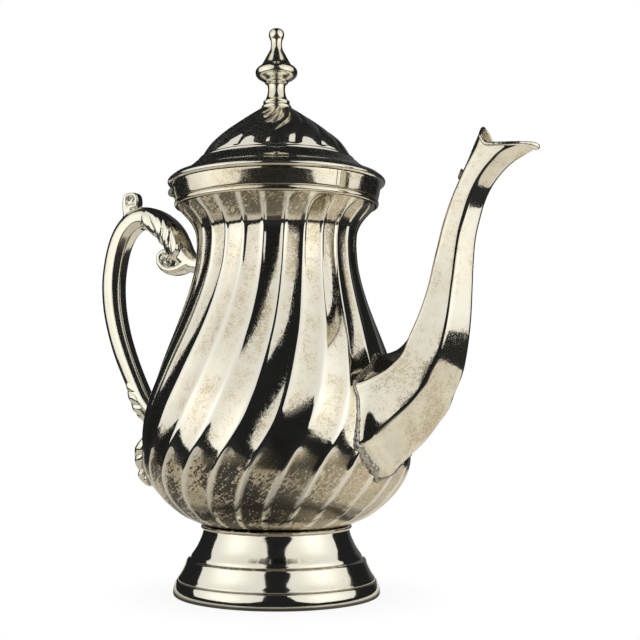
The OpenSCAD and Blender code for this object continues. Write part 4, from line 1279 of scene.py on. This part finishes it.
def floor_material():
    material = bpy.data.materials.new("floor_pale")
    material.use_nodes = True
    graph = Graph(material.node_tree)
    nodes = material.node_tree.nodes
    plain = nodes["Principled BSDF"]
    object_position = graph.node("TexCoord").outputs["Object"]
    mottle = graph.ramp(graph.noise(object_position, scale=6.0, detail=3.0),
                        [(0.3, (0.79, 0.78, 0.76)), (0.7, (0.83, 0.82, 0.80))])
    for name, value in (("Base Color", (0.80, 0.79, 0.77)), ("Base Color", mottle),
                        ("Roughness", 0.65)):
        graph.feed(plain.inputs[name], value)
    # seen by the camera the floor fades to white away from the pot
    light_path = graph.node("LightPath").outputs
    position = graph.node("NewGeometry").outputs["Position"]
    distance = graph.node("VectorMath", {0: position}, operation="LENGTH").outputs["Value"]
    whiteness = graph.map_range(distance, 0.044, 0.075, 0.92, 1.0)
    seen = graph.mix_shader(graph.multiply(whiteness, light_path["Is Camera Ray"]),
                            plain.outputs[0], graph.emission((1, 1, 1), 1.0))
    mirrored = mirrored_floor(graph, object_position, position, distance)
    graph.feed(nodes["Material Output"].inputs[0],
               graph.mix_shader(light_path["Is Glossy Ray"], seen, mirrored))
    return material


def build_floor():
    count = 64
    material = floor_material()
    mesh = bpy.data.meshes.new("floor")
    verts = [(0, 0, 0)] + [(r * math.cos(a), r * math.sin(a), 0.0)
                           for r in FLOOR_RINGS for a in full_turn(count)]
    faces = [(0, 1 + i, 1 + (i + 1) % count) for i in range(count)]
    faces += quads(len(FLOOR_RINGS), count, 1, flip=True)
    mesh.from_pydata(verts, [], faces)
    mesh.materials.append(material)
    floor = link_object("floor", mesh)
    floor.location = (0, 0, -0.0002)
    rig.stage(floor)


# ------------------------------------------------------------------ soft boxes, in metres
# curved panels left and right of the camera that only show as reflections
PANEL_DISTANCE = 0.42
# height, then degrees from the camera's azimuth: inner and outer edge of the left panel,
# inner and outer edge of the right panel
PANEL_EDGES = np.array([
    [0.080, -46, -98, 44, 90], [0.13, -27, -104, 31, 96], [0.20, -15.5, -110, 21, 102],
    [0.38, -15, -114, 14, 106], [0.50, -15, -114, 15, 106], [0.65, -24, -112, 23, 104],
    [0.89, -42, -108, 40, 100], [1.1, -56, -100, 54, 96], [1.35, -70, -92, 68, 88]])


def panel_material(name):
    material = bpy.data.materials.new(name)
    graph, output = empty_graph(material)
    glow = graph.emission((1.0, 0.995, 0.935), graph.attribute("level"))
    clear = graph.node("BsdfTransparent").outputs[0]
    graph.feed(output, graph.mix_shader(graph.light_path("Is Glossy Ray"), clear, glow))
    never_sampled(material, "emission_sampling")
    return material


def build_panel(name, inner_edge, outer_edge, hot_angle, level):
    """panel with a hot spot at hot_angle degrees from the camera's azimuth"""
    rows, columns = 60, 40
    hot_height, hot_half_angle, hot_half_height, hot_gain = 0.22, 26, 0.16, 0.55
    heights = np.linspace(PANEL_EDGES[0, 0], PANEL_EDGES[-1, 0], rows)
    inner = np.interp(heights, PANEL_EDGES[:, 0], inner_edge)[:, None]
    outer = np.interp(heights, PANEL_EDGES[:, 0], outer_edge)[:, None]
    degrees = inner + (outer - inner) * np.linspace(0, 1, columns)
    spot = np.exp(-(((degrees - hot_angle) / hot_half_angle) ** 2
                    + ((heights[:, None] - hot_height) / hot_half_height) ** 2))
    mesh = bpy.data.meshes.new(name)
    verts = turned(PANEL_DISTANCE, heights, np.radians(CAMERA_AZIMUTH + degrees))
    mesh.from_pydata(verts.tolist(), [], quads(rows, columns, wrap=False))
    add_attribute(mesh, "level", (level * (1 + hot_gain * spot)).ravel())
    mesh.materials.append(panel_material(name + "_glow"))
    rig.stage(link_object(name, mesh))


# ------------------------------------------------------------------ world
def build_world():
    """white seen directly; a dark studio in reflections; two soft boxes for the other rays"""
    world = bpy.data.worlds.new("studio")
    bpy.context.scene.world = world
    graph, output = empty_graph(world, "OutputWorld")
    add, subtract, multiply = graph.add, graph.subtract, graph.multiply
    direction = graph.node("TexCoord").outputs["Generated"]
    x, y, z = graph.node("SeparateXYZ", {0: direction}).outputs
    bearing = subtract(graph.math("ARCTAN2", y, x), math.radians(CAMERA_AZIMUTH))
    bearing = graph.math("WRAP", bearing, math.pi, -math.pi)
    right = multiply(bearing, 180 / math.pi)        # degrees, + is to the camera's right
    elevation = multiply(graph.math("ARCSINE", z), 180 / math.pi)

    def soft_box(sides, heights, soft, hot, level, hot_gain):
        """soft-edged box between two bearings and two elevations, brighter round hot"""
        def edge(value, low, high):
            return graph.map_range(value, low, high, kind="SMOOTHSTEP")

        hot_width = 26.0
        left_side, right_side = sides
        bottom, top = heights
        box = multiply(edge(right, left_side - soft / 2, left_side + soft / 2),
                       edge(right, right_side + soft / 2, right_side - soft / 2))
        box = multiply(box, edge(elevation, bottom - soft, bottom + soft))
        box = multiply(box, edge(elevation, top + soft, top - soft))
        dx = multiply(subtract(right, hot[0]), 1 / hot_width)
        dy = multiply(subtract(elevation, hot[1]), 1 / hot_width)
        squared = add(multiply(dx, dx), multiply(dy, dy))
        spot = graph.math("POWER", 2.718, multiply(squared, -1.0))
        spot = add(1.0, multiply(spot, hot_gain))
        return multiply(multiply(box, spot), level)

    left_box = soft_box(sides=(-112, -24), heights=(-12, 61), soft=2.0, hot=(-62, 20),
                        level=0.90, hot_gain=0.45)
    right_box = soft_box(sides=(22, 107), heights=(-12, 61), soft=2.0, hot=(60, 20),
                         level=0.92, hot_gain=0.45)
    behind = soft_box(sides=(150, 180), heights=(-90, 30), soft=20, hot=(0, 0),
                      level=0.10, hot_gain=0)
    not_glossy = subtract(1.0, graph.light_path("Is Glossy Ray"))
    boxes = add(multiply(add(left_box, right_box), not_glossy), behind)
    never_sampled(world, "sampling_method")
    # the dark room is a little lighter below the horizon
    level = add(boxes, graph.map_range(elevation, 0.0, -8.0, 0.018, 0.030))
    cool, warm, warming = (0.90, 0.95, 1.0), (1.0, 0.985, 0.95), 3.0
    colour = graph.mix_colour(multiply(level, warming, clamp=True), cool, warm)
    studio = graph.node("Background", {"Color": colour, "Strength": level}).outputs[0]
    white = graph.node("Background", {"Color": (1, 1, 1), "Strength": 1.0}).outputs[0]
    graph.feed(output, graph.mix_shader(graph.light_path("Is Camera Ray"), studio, white))


# ------------------------------------------------------------------ camera, in metres
CAMERA_DISTANCE, CAMERA_HEIGHT = 0.5, 0.084


def build_camera():
    """level camera that looks at the pot's axis, its frame shifted off it"""
    data = bpy.data.cameras.new("cam")
    camera = link_object("cam", data)
    bearing = math.radians(CAMERA_AZIMUTH)
    camera.location = (CAMERA_DISTANCE * math.cos(bearing), CAMERA_DISTANCE * math.sin(bearing),
                       CAMERA_HEIGHT)
    camera.rotation_euler = (math.pi / 2, 0, bearing + math.pi / 2)
    data.sensor_width = 36
    data.lens = 64.6875
    data.shift_x = 0.06796875
    data.shift_y = 0.125
    data.clip_start = 0.01
    scene = bpy.context.scene
    scene.camera = camera
    scene.view_settings.view_transform = "Standard"
    scene.view_settings.look = "None"


# ------------------------------------------------------------------ build
build_body()
lathe("foot_ring", FOOT_RING, SPUN_SILVER, "foot_base_ring")
lathe("foot_spun", FOOT_OUTSIDE + FOOT_INSIDE, SPUN_SILVER, "foot", segments=280)
build_foot_disc()
lathe("neck_bead_wire", NECK_BEAD, COLLAR_SILVER, "neck_bead")
build_collar()
lathe("lid_rim_spun", LID_RIM, LID_SILVER, "lid_rim", segments=320, body="lid")
build_finial()
build_dome()
left_root = build_spout_half(1, "left")
right_root = build_spout_half(-1, "right")
build_root_solder(left_root, right_root)
build_lip()
build_ridge_nub()
build_handle()
build_handle_solder("handle_upper_solder", centre_z=144.6, half_y=3.9, half_z=3.8, radius=0.55)
build_handle_solder("handle_lower_solder", centre_z=71.0, half_y=5.4, half_z=5.6, radius=0.8)
build_foot_solder()
finish_cad_pieces()
build_floor()
build_panel("softbox_left", PANEL_EDGES[:, 1], PANEL_EDGES[:, 2], hot_angle=-62, level=0.90)
build_panel("softbox_right", PANEL_EDGES[:, 3], PANEL_EDGES[:, 4], hot_angle=58, level=0.92)
build_world()
build_camera()

final_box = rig.bounds()


def plain_box(box):
    return [[float(x) for x in point] for point in box]


try:
    json.dump({"cad": plain_box(cad_box), "visual": plain_box(final_box)},
              open("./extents.json", "w"))
except OSError as error:
    print("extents.json:", error)
